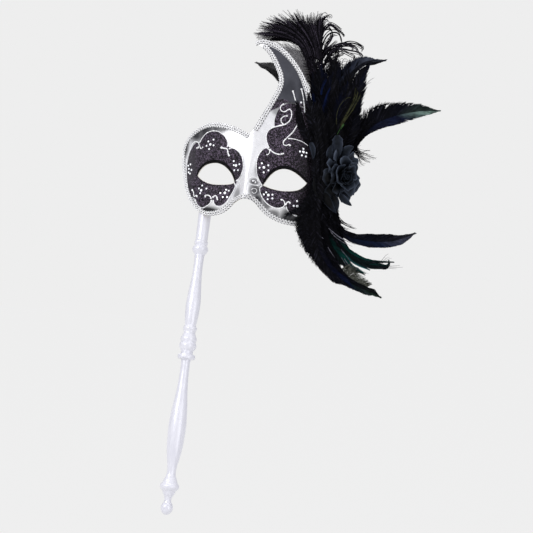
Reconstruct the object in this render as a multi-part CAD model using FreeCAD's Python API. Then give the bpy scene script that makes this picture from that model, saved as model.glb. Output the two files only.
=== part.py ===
import FreeCAD, Part
import math
import os

os.makedirs("parts", exist_ok=True)

V = FreeCAD.Vector
Y_AXIS = V(0, 1, 0)

# Masquerade mask on a turned stick, in millimetres.
# Row frame: origin at the grip's widest point on the stick's axis, +Z up, the mask faces -Y.
# The mask and its trimmings are drawn from the mask's own centre, between the eyes.
MASK_AT = V(45.0, 32.5, 246.5)

# Mask shell
SHELL_T = 1.6
PANEL_T = 0.35
BRAID_T = 1.5
BRAID_W = 4.3
GRID_STEP = 6.0
GRID_X = (-96.0, 96.0)
GRID_Z = (-54.0, 156.0)

# Stick
STICK_DIR = V(-0.018, 0.258, 0.966)
STICK_TOP = 240.0
GLUE_GAP = 0.05

# Rose and its felt disc on the right temple
TEMPLE_NORMAL = V(0.66, -0.75, 0)
DISC_AT = V(82.5, 35.0, 12.0)
DISC_R = 20.0
DISC_T = 1.8
ROSE_AT = V(91.0, 25.0, 15.0)
ROSE_AXIS = V(0.80, -0.60, 0)
PETAL_T = 0.9

# Shell outline, as (x, z) runs between its corners
LOBE_LEFT = [(-3, 46.5), (-11, 50.3), (-20, 54.4), (-32, 57.7), (-43.5, 59.2), (-53.5, 58.5),
             (-63.5, 55), (-73, 49), (-79.5, 41.5), (-82.3, 32), (-81.7, 21), (-78.5, 6),
             (-74, -8), (-67.5, -20), (-60, -28.2), (-52, -33.6), (-44.5, -36.3), (-35, -36),
             (-26, -33.4), (-18.5, -28.6), (-12.5, -23), (-5.5, -19.8), (1, -18.6),
             (7, -20.4), (13.5, -27.2), (20.5, -33.2), (27.5, -36.8), (35, -39.2),
             (43, -40.5), (51, -40.5)]
TEMPLE_RIGHT = [(51, -40.5), (60, -37), (68, -29.5), (74.5, -18), (78.5, -4), (80.5, 12),
                (79.5, 27), (75, 41), (67.5, 54), (60, 66), (56, 77), (53.6, 87.5),
                (49, 101.5), (43.4, 113), (37, 122.7), (29.5, 131.5), (22, 138.5),
                (14.5, 143.2), (6.5, 146), (-1.5, 146.9), (-8.5, 145)]
HORN_INNER = [(-8.5, 145), (-1, 139.4), (5.5, 133.5), (10.7, 126), (15.3, 118), (18.7, 110.5),
              (20, 102.5), (18.2, 94), (14, 83.5), (9.3, 72.5), (4.5, 61.5), (0.3, 52.5),
              (-3, 46.5)]

# Eye openings
EYE_LEFT_TOP = [(-58.5, 4.2), (-55, 10.8), (-49.5, 15), (-43, 17), (-36, 17.3), (-29, 15.2),
                (-22.8, 10.6), (-17.8, 4.4), (-14.4, -2.8)]
EYE_LEFT_LOW = [(-14.4, -2.8), (-20, -4.1), (-29, -4.9), (-39, -4.6), (-48.5, -2.3),
                (-54.5, 0.7), (-58.5, 4.2)]
EYE_RIGHT_TOP = [(14.4, -3.6), (17.3, 2), (21, 8), (26, 12.6), (32.3, 15), (39, 14.6),
                 (45.4, 11.6), (51, 7.5), (56, 3.2)]
EYE_RIGHT_LOW = [(56, 3.2), (53, -1), (48.5, -4.6), (41.5, -6.7), (33, -7.4), (24, -6.4),
                 (14.4, -3.6)]

# Decorated panels around the eyes and up the horn
PANEL_LEFT = [[(-60.5, 38.5), (-57, 43.5), (-52.5, 47.8), (-47, 50), (-41, 50.3), (-35, 48.3),
               (-30, 44.4), (-26.3, 39), (-24, 33.2)],
              [(-24, 33.2), (-18, 32.1), (-13.5, 29.3), (-9.6, 25), (-7.2, 19.8), (-6.2, 14),
               (-6.6, 8), (-8.2, 3), (-10.7, 0), (-13, -3)],
              [(-13, -3), (-14, -8), (-17.5, -14), (-21, -20.5), (-25, -24.8), (-29.5, -26.4),
               (-34, -25.2), (-37.2, -19.8)],
              [(-37.2, -19.8), (-39.5, -23.5), (-43.5, -26.6), (-48.5, -28.4), (-53.4, -27),
               (-57.3, -23.5), (-59.5, -19.5)],
              [(-59.5, -19.5), (-64.3, -16.8), (-68, -11.5), (-71, -4), (-73, 5), (-74, 14),
               (-73.5, 22), (-71.8, 29), (-69, 35), (-65.2, 38.8), (-60.5, 38.5)]]
PANEL_RIGHT = [[(13.5, -2.8), (11, 1), (8.8, 5.2), (7.4, 11), (6.8, 17), (7.4, 23.6),
                (9.6, 29.3), (12.8, 32.7), (17.5, 33.8)],
               [(17.5, 33.8), (15.6, 38), (14, 43.5), (13.6, 49), (15.5, 53.4), (20.8, 56.3)],
               [(20.8, 56.3), (19.8, 62), (20.6, 68.5), (23, 76)],
               [(23, 76), (28, 80.5), (35, 82.5), (42, 81), (50.5, 77)],
               [(50.5, 77), (54, 67), (60, 56), (67, 44.5), (72, 33), (74.3, 21), (74, 6),
                (71, -8), (65, -20), (58, -27), (50, -30)],
               [(50, -30), (44.5, -29), (40.5, -26.6), (37.4, -23)],
               [(37.4, -23), (34, -24.6), (29, -25.2), (24, -24), (19.5, -21.2), (15.8, -17),
                (13, -12), (11.6, -7.5), (13.5, -2.8)]]
HORN_FACE = [[(23, 77.5), (28, 82), (35, 84), (42, 82.5), (49.4, 79.3)],
             [(49.4, 79.3), (48.6, 87), (44.5, 99.5), (39.5, 110.5), (33.5, 119.8), (26.5, 127.8),
              (19.5, 134.2), (12.5, 138.4), (4.5, 140.8)],
             [(4.5, 140.8), (10, 135.5), (15, 128.5), (19.6, 120.2), (23.2, 112), (24.5, 103),
              (22.4, 93.8), (17, 80.5), (12.4, 69.5)],
             [(12.4, 69.5), (16, 73.5), (19.5, 75.5), (23, 77.5)]]

# Rhinestones as (x, z, radius)
STONES = [(-50.3, 40.2, 1.0), (-44.3, 42.2, 1.0), (-47.8, 36.8, 1.4), (-43.3, 35.4, 1.0),
          (-51.5, 34, 1.0), (-47.8, 31.9, 1.0),
          (-18.5, 20.2, 1.0), (-19.5, 15.8, 1.0), (-16, 15, 1.4), (-12.2, 16.5, 1.0),
          (-17.5, 10, 1.0), (-13, 10, 1.0),
          (-67.5, 17.5, 1.0), (-70.5, 16, 1.0), (-69, 12.6, 1.0), (-65.2, 11.8, 1.0),
          (-70, 9, 1.0), (-67.5, 7.5, 1.0),
          (-51.8, -6.4, 1.0), (-55.8, -10.6, 1.0), (-52.7, -12, 1.4), (-47, -9.2, 1.0),
          (-54, -14.8, 1.0),
          (-25, -9.3, 1.0), (-22, -10, 1.0), (-30.8, -13.1, 1.0), (-26.2, -12.9, 1.4),
          (-28.5, -17, 1.0), (-24.3, -16.8, 1.0),
          (13.2, 18, 1.0), (20.5, 16.6, 1.0), (10.5, 13.4, 1.0), (15.6, 13, 1.4),
          (20, 9.6, 1.0), (14.5, 8.4, 1.0),
          (54, 34.5, 1.0), (50.3, 31, 1.0), (54, 31.2, 1.4), (57.4, 31.3, 1.0),
          (52.8, 27, 1.0), (56.8, 26.6, 1.0),
          (50.6, 52.6, 1.0), (54, 52.2, 1.0), (53.3, 48.6, 1.0),
          (47.5, 84.4, 1.0), (48.6, 73.5, 1.0),
          (17, -10, 1.0), (14.4, -12.6, 1.0), (18.8, -12.8, 1.4), (24, -12, 1.0),
          (23.6, -16, 1.0), (17.8, -17.2, 1.0),
          (49.5, -17, 1.0), (46.6, -22, 1.0), (50.3, -22, 1.4), (49.6, -25.6, 1.0)]

# Stick profile as (distance up the axis from the grip's centre, radius)
FINIAL_NECK = [(-70.2, 3.9), (-67.3, 3.2), (-64.6, 3.9), (-62.6, 5.2)]
FINIAL_BEAD = [(-59.2, 6.6), (-57.6, 8.4), (-55.6, 9.3), (-53.6, 8.8), (-52.2, 7.4)]
GRIP_SWELL = [(-48.6, 6.1), (-44.3, 4.5), (-39.6, 4.3), (-30.3, 5.8), (-20.9, 7.4), (-10, 8.3),
              (0, 8.6), (10, 8.2), (20, 7.3), (33, 5.7), (46, 4.7), (58, 4.4), (66.4, 4.7)]
MID_BALL = [(75.0, 6.0), (77.2, 7.6), (80.5, 8.6), (83.4, 7.5)]
MID_RIDGE = [(85.2, 7.7), (87.0, 8.1), (89.4, 7.4), (94.2, 5.8)]
MID_BEAD = [(95.6, 6.2), (97.7, 7.0), (99.8, 6.2)]
UPPER_SWELL = [(101.2, 5.5), (107, 6.4), (115, 7.0), (123.5, 7.2), (134, 6.5), (145, 5.5),
               (155, 4.8), (165, 4.6), (174.6, 5.0)]
TOP_BEAD = [(177.2, 6.6), (180.9, 8.1), (184.4, 6.6)]
SMALL_BEAD = [(185.6, 6.0), (187.9, 7.0), (190.2, 6.1)]
BLOCKS = {}
STICK_RUNS = [FINIAL_NECK, FINIAL_BEAD, GRIP_SWELL, MID_BALL, MID_RIDGE, MID_BEAD,
              UPPER_SWELL, TOP_BEAD, SMALL_BEAD]


def depth(x, z):
    """How far the shell's front lies behind the plane of the nose bridge."""
    side = abs(x)
    wrap = 34.0 * (math.hypot(x, 1.0) / 78.0) ** 2.1
    nose = (3.0 + 14.0 / (1.0 + math.exp((z - 8.0) / 9.0))) * math.exp(-(x / 10.0) ** 2)
    socket = 3.0 * math.exp(-((side - 35.0) / 20.0) ** 2 - ((z - 3.0) / 13.0) ** 2)
    brow = 3.0 * math.exp(-((side - 32.0) / 24.0) ** 2 - ((z - 30.0) / 10.0) ** 2)
    cheek = 3.5 * math.exp(-((side - 38.0) / 20.0) ** 2 - ((z + 20.0) / 9.0) ** 2)
    lean = 0.18 * 12.0 * math.log1p(math.exp((z - 30.0) / 12.0))
    tuck = 0.008 * min(0.0, z + 20.0) ** 2
    return wrap - nose + socket - brow - cheek + lean + tuck


def slopes(x, z):
    """Slopes of the shell's front along x and z."""
    step = 0.5
    along_x = (depth(x + step, z) - depth(x - step, z)) / (2 * step)
    along_z = (depth(x, z + step) - depth(x, z - step)) / (2 * step)
    return along_x, along_z


def normal(x, z):
    """Outward normal of the shell's front."""
    along_x, along_z = slopes(x, z)
    out = V(along_x, -1.0, along_z)
    out.normalize()
    return out


def surface_point(x, z, inward):
    """A point a given thickness behind the shell's front."""
    along_x, along_z = slopes(x, z)
    stretch = math.sqrt(1.0 + along_x ** 2 + along_z ** 2)
    return V(x, depth(x, z) + inward * stretch, z)


def steps(low, high, step):
    """Evenly spaced values from low to high."""
    count = int(round((high - low) / step))
    return [low + (high - low) * i / count for i in range(count + 1)]


def block_behind(inward):
    """Everything behind the surface that lies a given thickness inside the shell's front."""
    if inward not in BLOCKS:
        BLOCKS[inward] = make_block(inward)
    return BLOCKS[inward]


def make_block(inward):
    """The block whose front face is the shell's front moved inward."""
    rows = []
    for x in steps(GRID_X[0], GRID_X[1], GRID_STEP):
        rows.append([surface_point(x, z, inward) for z in steps(GRID_Z[0], GRID_Z[1], GRID_STEP)])
    surface = Part.BSplineSurface()
    surface.interpolate(rows)
    return surface.toShape().extrude(V(0, 160, 0))


def spline(points):
    """A smooth open curve through points."""
    curve = Part.BSplineCurve()
    curve.interpolate(points)
    return curve.toShape()


def prism(runs):
    """A column along Y over a closed outline made of smooth runs that meet at corners."""
    edges = [spline([V(x, -80, z) for x, z in run]) for run in runs]
    return Part.Face(Part.Wire(edges)).extrude(V(0, 240, 0))


def beside(run, offset):
    """The run moved sideways, to the left of its direction of travel for a positive offset."""
    moved = []
    last = len(run) - 1
    for i in range(last + 1):
        ahead = run[min(i + 1, last)]
        behind = run[max(i - 1, 0)]
        dx = ahead[0] - behind[0]
        dz = ahead[1] - behind[1]
        size = math.hypot(dx, dz)
        moved.append((run[i][0] - dz / size * offset, run[i][1] + dx / size * offset))
    return moved


def ribbon_prism(run, near, far):
    """A column along Y over the strip between two sideways offsets of a run."""
    one = beside(run, near)
    two = beside(run, far)
    two.reverse()
    edges = []
    for side in (one, two):
        edges.append(spline([V(x, -80, z) for x, z in side]))
    edges.append(Part.makeLine(V(one[-1][0], -80, one[-1][1]), V(two[0][0], -80, two[0][1])))
    edges.append(Part.makeLine(V(two[-1][0], -80, two[-1][1]), V(one[0][0], -80, one[0][1])))
    return Part.Face(Part.Wire(Part.__sortEdges__(edges))).extrude(V(0, 240, 0))


def oval_prism(x, z, across, up):
    """A column along Y over an ellipse."""
    centre = V(x, -80, z)
    if across >= up:
        oval = Part.Ellipse(centre + V(across, 0, 0), centre + V(0, 0, up), centre)
    else:
        oval = Part.Ellipse(centre + V(0, 0, up), centre + V(across, 0, 0), centre)
    return Part.Face(Part.Wire(oval.toShape())).extrude(V(0, 240, 0))


def save(name, shape):
    """Move a shape from the mask's centre to the row frame and write it."""
    moved = shape.copy()
    moved.translate(MASK_AT)
    solids = Part.makeCompound(moved.Solids)
    solids.exportStep("parts/" + name + ".step")
    box = solids.BoundBox
    print(name, len(moved.Solids), round(solids.Volume, 1), "valid" if solids.isValid() else "BAD",
          [round(v, 1) for v in (box.XMin, box.YMin, box.ZMin, box.XMax, box.YMax, box.ZMax)])


def turned_profile():
    """The stick's half section, as a closed wire in the XZ plane."""
    edges = []
    ball_end = V(FINIAL_NECK[0][1], 0, FINIAL_NECK[0][0])
    tip = V(0, 0, -81.4)
    edges.append(Part.Arc(tip, V(5.8, 0, -75.4), ball_end).toShape())
    for i, run in enumerate(STICK_RUNS):
        edges.append(spline([V(r, 0, t) for t, r in run]))
        last = V(run[-1][1], 0, run[-1][0])
        if i + 1 < len(STICK_RUNS):
            follower = STICK_RUNS[i + 1][0]
            first = V(follower[1], 0, follower[0])
            edges.extend(fillet_step(last, first))
    shoulder = V(6.1, 0, 191.0)
    edges.append(Part.makeLine(V(SMALL_BEAD[-1][1], 0, SMALL_BEAD[-1][0]), shoulder))
    edges.append(Part.makeLine(shoulder, V(6.8, 0, STICK_TOP)))
    edges.append(Part.makeLine(V(6.8, 0, STICK_TOP), V(0, 0, STICK_TOP)))
    edges.append(Part.makeLine(V(0, 0, STICK_TOP), tip))
    return Part.Wire(edges)


def fillet_step(last, first):
    """The cut between two turned beads: a flange above the grip, a plain shoulder elsewhere."""
    if last.z > 66 and last.z < 67:
        flange = [last, V(8.6, 0, 67.4), V(8.8, 0, 69.3), V(8.4, 0, 71.2), V(5.9, 0, 72.2), first]
    else:
        flange = [last, first]
    return [Part.makeLine(a, b) for a, b in zip(flange, flange[1:])]


def make_stick():
    """The turned stick, seated on its lean."""
    solid = Part.Face(turned_profile()).revolve(V(0, 0, 0), V(0, 0, 1), 360)
    solid.Placement = FreeCAD.Placement(V(0, 0, 0), FreeCAD.Rotation(V(0, 0, 1), STICK_DIR))
    solid.translate(MASK_AT.negative())
    return solid


def make_glue_pad(behind_inner, stick):
    """The glue that fills the wedge between the shell's inside and the top of the stick."""
    pad = behind_inner.common(oval_prism(-49.0, -23.5, 11.5, 10.5))
    axis_point = MASK_AT.negative() + STICK_DIR * 225.0
    seat = Part.makeBox(60, 60, 60, V(-30, -60, -30))
    seat.Placement = FreeCAD.Placement(axis_point, FreeCAD.Rotation(V(0, 0, 1), STICK_DIR))
    bore = Part.makeCylinder(6.9, 120, axis_point - STICK_DIR * 60.0, STICK_DIR)
    return pad.common(seat).cut(bore).cut(stick)


def make_stones():
    """Faceted stones standing on the decorated panels."""
    stones = []
    for x, z, radius in STONES:
        base = []
        crown = []
        for i in range(8):
            angle = math.radians(45 * i + 22.5)
            base.append(V(radius * math.cos(angle), radius * math.sin(angle), 0))
            crown.append(V(0.6 * radius * math.cos(angle), 0.6 * radius * math.sin(angle), radius * 0.75))
        base.append(base[0])
        crown.append(crown[0])
        gem = Part.makeLoft([Part.makePolygon(base), Part.makePolygon(crown)], True, True)
        out = normal(x, z)
        spot = surface_point(x, z, -(PANEL_T + 0.06 + 0.25 * radius ** 2 / 10.0))
        gem.Placement = FreeCAD.Placement(spot, FreeCAD.Rotation(V(0, 0, 1), out))
        stones.append(gem)
    return Part.makeCompound(stones)


def blade(spine, widths, thickness):
    """A flat feather-shaped solid lofted along a spine; widths run from root to tip."""
    curve = Part.BSplineCurve()
    curve.interpolate([V(*p) for p in spine])
    first, last = curve.FirstParameter, curve.LastParameter
    rings = []
    for i, width in enumerate(widths):
        here = first + (last - first) * i / (len(widths) - 1)
        along = curve.tangent(here)[0]
        across = along.cross(Y_AXIS)
        across.normalize()
        through = across.cross(along)
        through.normalize()
        centre = curve.value(here)
        half = thickness / 2.0
        if width < thickness * 2:
            half = width / 4.0
        oval = Part.Ellipse(centre + across * (width / 2.0), centre + through * half, centre)
        rings.append(Part.Wire(oval.toShape()))
    return Part.makeLoft(rings, True, False)


def bowl(depth_back, rise, radius, thickness):
    """A shallow revolved cup whose rim rises to the front."""
    outer = []
    inner = []
    for i in range(6):
        share = i / 5.0
        r = radius * share
        height = depth_back + rise * share ** 1.6
        outer.append(V(r, 0, height))
        inner.append(V(r, 0, height + thickness))
    inner.reverse()
    edges = [spline(outer), Part.makeLine(outer[-1], inner[0]), spline(inner),
             Part.makeLine(inner[-1], outer[0])]
    return Part.Face(Part.Wire(edges)).revolve(V(0, 0, 0), V(0, 0, 1), 360)


def petal_ring(count, reach, half_width, levels, rise, start):
    """Overlapping petals cut from nested cups, so that neighbours lie on different levels."""
    petals = []
    for i in range(count):
        cup = bowl(levels[i % len(levels)], rise, reach + 2.0, PETAL_T)
        middle = reach * 0.58
        oval = Part.Ellipse(V(middle, half_width, -30), V(reach, 0, -30), V(middle, 0, -30))
        cutter = Part.Face(Part.Wire(oval.toShape())).extrude(V(0, 0, 80))
        petal = cup.common(cutter)
        petal.rotate(V(0, 0, 0), V(0, 0, 1), start + 360.0 * i / count)
        petals.append(petal)
    return Part.makeCompound(petals)


def on_rose(shape):
    """Seat a shape drawn along +Z on the rose's axis."""
    seated = shape.copy()
    seated.Placement = FreeCAD.Placement(ROSE_AT, FreeCAD.Rotation(V(0, 0, 1), ROSE_AXIS))
    return seated


def make_bud():
    """The closed heart of the rose."""
    edges = [spline([V(3.6, 0, -3.4), V(5.4, 0, 1.0), V(6.0, 0, 5.5), V(4.6, 0, 10.0), V(1.6, 0, 12.6)]),
             Part.makeLine(V(1.6, 0, 12.6), V(0, 0, 12.6)),
             Part.makeLine(V(0, 0, 12.6), V(0, 0, -3.4)),
             Part.makeLine(V(0, 0, -3.4), V(3.6, 0, -3.4))]
    return Part.Face(Part.Wire(edges)).revolve(V(0, 0, 0), V(0, 0, 1), 360)


def make_calyx():
    """The hub that the petals are wired to, ending on the felt disc."""
    hub = Part.makeCone(2.2, 4.2, 12.0, V(0, 0, -18.0), V(0, 0, 1))
    disc_plane = Part.makeBox(200, 200, 60, V(-100, -100, 0.05))
    disc_plane.Placement = FreeCAD.Placement(disc_front(), FreeCAD.Rotation(V(0, 0, 1), TEMPLE_NORMAL))
    return on_rose(hub).common(disc_plane)


def disc_front():
    """The middle of the felt disc's front face."""
    return DISC_AT + TEMPLE_NORMAL * DISC_T


def make_disc():
    """The stiffened felt disc that carries the rose beside the temple."""
    return Part.makeCylinder(DISC_R, DISC_T, DISC_AT, TEMPLE_NORMAL)


def make_shell():
    """The moulded mask with its eye openings."""
    outline = prism([LOBE_LEFT, TEMPLE_RIGHT, HORN_INNER])
    shell = block_behind(0.0).cut(block_behind(SHELL_T)).common(outline)
    for top, low in ((EYE_LEFT_TOP, EYE_LEFT_LOW), (EYE_RIGHT_TOP, EYE_RIGHT_LOW)):
        shell = shell.cut(prism([top, low]))
    return shell


def make_layer(inner, outer, column):
    """A skin between two surfaces, kept inside a column."""
    return block_behind(outer).cut(block_behind(inner)).common(column)


def make_panel(runs, eye):
    """A decorated panel on the shell's front, opened around the eye."""
    panel = make_layer(0.0, -PANEL_T, prism(runs))
    if eye is not None:
        panel = panel.cut(prism(eye))
    return panel


def make_braid(run, offset=0.0):
    """Braid glued along the shell's edge."""
    return make_layer(0.0, -BRAID_T, ribbon_prism(run, offset, offset + BRAID_W))


def mask_nodes():
    """Shell, panels, braid and stones."""
    lobe = make_braid(LOBE_LEFT[:23])
    cheek = make_braid(LOBE_LEFT[22:])
    horn_inner = make_braid(HORN_INNER[1:-1])
    save("mask_shell", make_shell())
    save("glitter_panel_left", make_panel(PANEL_LEFT, [EYE_LEFT_TOP, EYE_LEFT_LOW]).cut(lobe))
    save("glitter_panel_right", make_panel(PANEL_RIGHT, [EYE_RIGHT_TOP, EYE_RIGHT_LOW]))
    save("horn_panel", make_panel(HORN_FACE, None).cut(horn_inner))
    save("braid_lobe", lobe)
    save("braid_cheek", cheek)
    save("braid_temple", make_braid(TEMPLE_RIGHT[:10]).cut(cheek))
    save("braid_horn_outer", make_braid(TEMPLE_RIGHT[9:]))
    save("braid_horn_inner", horn_inner)
    save("rhinestones", make_stones())
    save("felt_backing_patch", make_layer(SHELL_T + 1.4, SHELL_T, oval_prism(66.5, 12.0, 9.0, 21.0)))


def stick_nodes():
    """The stick and its glue."""
    stick = make_stick()
    save("stick", stick)
    save("stick_glue_pad", make_glue_pad(block_behind(SHELL_T + GLUE_GAP), stick))


def rose_nodes():
    """The fabric rose and the disc behind it."""
    save("feather_disc", make_disc())
    save("rose_calyx", make_calyx())
    save("rose_outer_petals", on_rose(petal_ring(6, 27.5, 13.5, (-5.6, -4.2), 9.0, 20)))
    bud = make_bud()
    save("rose_middle_petals", on_rose(petal_ring(6, 20.5, 10.5, (-2.6, -1.2), 11.0, 50).cut(bud)))
    save("rose_inner_petals", on_rose(petal_ring(4, 13.5, 6.8, (0.6, 2.0), 9.0, 10).cut(bud)))
    save("rose_bud", on_rose(bud))
    save("rose_leaf_top", blade([(80, 30, 41), (78.5, 27, 47), (77.5, 25, 52), (78.5, 24, 57)],
                                [3, 9, 8, 2], 1.2))
    save("rose_leaf_bottom", blade([(82, 20, -13), (82.5, 18.5, -18), (84, 17, -23), (86.5, 15.5, -28)],
                                   [3, 10, 9, 2], 1.2))
    save("hackle_temple", blade([(61, 14.5, -12), (59.5, 12, 8), (60, 12, 24), (63, 14, 40)],
                                [5, 12, 12, 4], 2.4))


def plume_nodes():
    """Feathers: the standing group, the side one and the hanging group."""
    save("ostrich_plume_left", blade([(62, 45.5, 38), (56, 47, 90), (47, 48, 128), (29, 47.5, 157),
                                      (2, 46, 166)], [5, 14, 24, 32, 34, 26, 5], 3.6))
    save("ostrich_plume_right", blade([(80, 53, 38), (75, 54, 90), (72, 55, 130), (82, 54, 154),
                                       (101, 52, 150)], [5, 14, 26, 34, 32, 20, 5], 3.6))
    save("goose_feather_horn", blade([(58, 38, 48), (40, 37, 88), (17, 36.5, 115), (-9, 36, 129)],
                                     [4, 12, 16, 14, 3], 1.8))
    save("goose_feather_middle", blade([(71, 40.5, 38), (66, 39.5, 82), (61, 39, 118), (54, 38.5, 146)],
                                       [5, 16, 24, 22, 3], 1.8))
    save("goose_feather_right", blade([(83, 47, 40), (90, 46, 78), (94, 45, 110), (106, 44.5, 129),
                                       (126, 44, 136)], [4, 14, 24, 22, 16, 3], 1.8))
    save("peacock_herl", blade([(77, 33, 50), (87, 31, 65), (95, 31, 80), (98, 31, 100)],
                               [2.4, 2.4, 2.4, 2.0], 1.6))
    save("coque_feather_side", blade([(99, 50, 28), (109, 50, 54), (128, 50, 74), (153, 50, 84),
                                      (180, 50, 84)], [6, 15, 26, 25, 19, 5], 2.2))
    save("coque_feather_low_1", blade([(86, 28, -18), (99, 26, -36), (119, 24, -47), (145, 23, -49),
                                       (168, 22, -40)], [4, 9, 13, 13, 10, 3], 1.8))
    save("coque_feather_low_2", blade([(79, 22, -18), (86, 18, -44), (102, 16.5, -63), (126, 16, -72),
                                       (148, 16, -71)], [4, 9, 12, 12, 9, 3], 1.8))
    save("coque_feather_low_3", blade([(69, 13, -18), (74, 10.5, -50), (88, 9.5, -79), (110, 9, -94),
                                       (136, 9, -104)], [5, 12, 18, 18, 13, 3], 1.8))
    save("coque_feather_low_4", blade([(76, 33, -20), (85, 31, -52), (99, 30, -78), (118, 30, -93)],
                                      [4, 10, 14, 13, 3], 1.8))
    save("hackle_cheek", blade([(58, 7, -22), (59, 4, -42), (67, 3, -66), (79, 3, -84)],
                               [5, 14, 15, 11, 3], 2.2))


mask_nodes()
stick_nodes()
rose_nodes()
plume_nodes()
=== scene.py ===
import math
import random

import bpy
from mathutils import Matrix, Vector, noise
from mathutils.bvhtree import BVHTree


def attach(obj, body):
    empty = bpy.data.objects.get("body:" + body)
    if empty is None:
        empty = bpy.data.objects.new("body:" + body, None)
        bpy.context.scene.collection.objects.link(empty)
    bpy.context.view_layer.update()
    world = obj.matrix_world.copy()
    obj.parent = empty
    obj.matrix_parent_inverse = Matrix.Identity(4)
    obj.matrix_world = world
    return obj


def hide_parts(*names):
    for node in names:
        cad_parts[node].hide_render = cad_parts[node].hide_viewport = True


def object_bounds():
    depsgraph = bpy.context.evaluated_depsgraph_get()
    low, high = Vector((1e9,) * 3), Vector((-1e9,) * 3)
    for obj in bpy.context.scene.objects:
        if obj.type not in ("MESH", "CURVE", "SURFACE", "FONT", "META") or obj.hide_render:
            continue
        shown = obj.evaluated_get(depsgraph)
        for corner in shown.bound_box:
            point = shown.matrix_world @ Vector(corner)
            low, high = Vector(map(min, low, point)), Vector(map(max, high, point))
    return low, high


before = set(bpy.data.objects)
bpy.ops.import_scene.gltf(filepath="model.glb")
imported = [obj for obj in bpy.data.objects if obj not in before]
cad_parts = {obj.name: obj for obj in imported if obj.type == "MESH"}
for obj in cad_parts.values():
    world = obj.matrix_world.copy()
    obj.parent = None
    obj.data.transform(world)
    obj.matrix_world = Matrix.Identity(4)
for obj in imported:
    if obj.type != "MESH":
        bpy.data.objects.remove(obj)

cad_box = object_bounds()

# Lengths are millimetres and places count from the mask's centre, between the eyes: x to the right,
# y away from the viewer, z up. Only stage, lights and camera work in metres.
MM = 0.001
MASK_AT = Vector((45.0, 32.5, 246.5))
FRONT = Vector((0, -1, 0))

# Camera: turn, roll and distance from the mask, then how far the view's middle lies right of and below it
AZIMUTH = math.radians(10)
ROLL = math.radians(4.5)
DISTANCE = 800.0
SHIFT_RIGHT = 17.5
SHIFT_DOWN = 85.5
LENS_MM = 54.03

# Shell outline, as (x, z) runs between its corners
LOBE_LEFT = [(-3, 46.5), (-11, 50.3), (-20, 54.4), (-32, 57.7), (-43.5, 59.2), (-53.5, 58.5),
             (-63.5, 55), (-73, 49), (-79.5, 41.5), (-82.3, 32), (-81.7, 21), (-78.5, 6),
             (-74, -8), (-67.5, -20), (-60, -28.2), (-52, -33.6), (-44.5, -36.3), (-35, -36),
             (-26, -33.4), (-18.5, -28.6), (-12.5, -23), (-5.5, -19.8), (1, -18.6),
             (7, -20.4), (13.5, -27.2), (20.5, -33.2), (27.5, -36.8), (35, -39.2),
             (43, -40.5), (51, -40.5)]
TEMPLE_RIGHT = [(51, -40.5), (60, -37), (68, -29.5), (74.5, -18), (78.5, -4), (80.5, 12),
                (79.5, 27), (75, 41), (67.5, 54), (60, 66), (56, 77), (53.6, 87.5),
                (49, 101.5), (43.4, 113), (37, 122.7), (29.5, 131.5), (22, 138.5),
                (14.5, 143.2), (6.5, 146), (-1.5, 146.9), (-8.5, 145)]
HORN_INNER = [(-8.5, 145), (-1, 139.4), (5.5, 133.5), (10.7, 126), (15.3, 118), (18.7, 110.5),
              (20, 102.5), (18.2, 94), (14, 83.5), (9.3, 72.5), (4.5, 61.5), (0.3, 52.5),
              (-3, 46.5)]

# Eye openings
EYE_LEFT_TOP = [(-58.5, 4.2), (-55, 10.8), (-49.5, 15), (-43, 17), (-36, 17.3), (-29, 15.2),
                (-22.8, 10.6), (-17.8, 4.4), (-14.4, -2.8)]
EYE_LEFT_LOW = [(-14.4, -2.8), (-20, -4.1), (-29, -4.9), (-39, -4.6), (-48.5, -2.3),
                (-54.5, 0.7), (-58.5, 4.2)]
EYE_RIGHT_TOP = [(14.4, -3.6), (17.3, 2), (21, 8), (26, 12.6), (32.3, 15), (39, 14.6),
                 (45.4, 11.6), (51, 7.5), (56, 3.2)]
EYE_RIGHT_LOW = [(56, 3.2), (53, -1), (48.5, -4.6), (41.5, -6.7), (33, -7.4), (24, -6.4),
                 (14.4, -3.6)]

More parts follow.
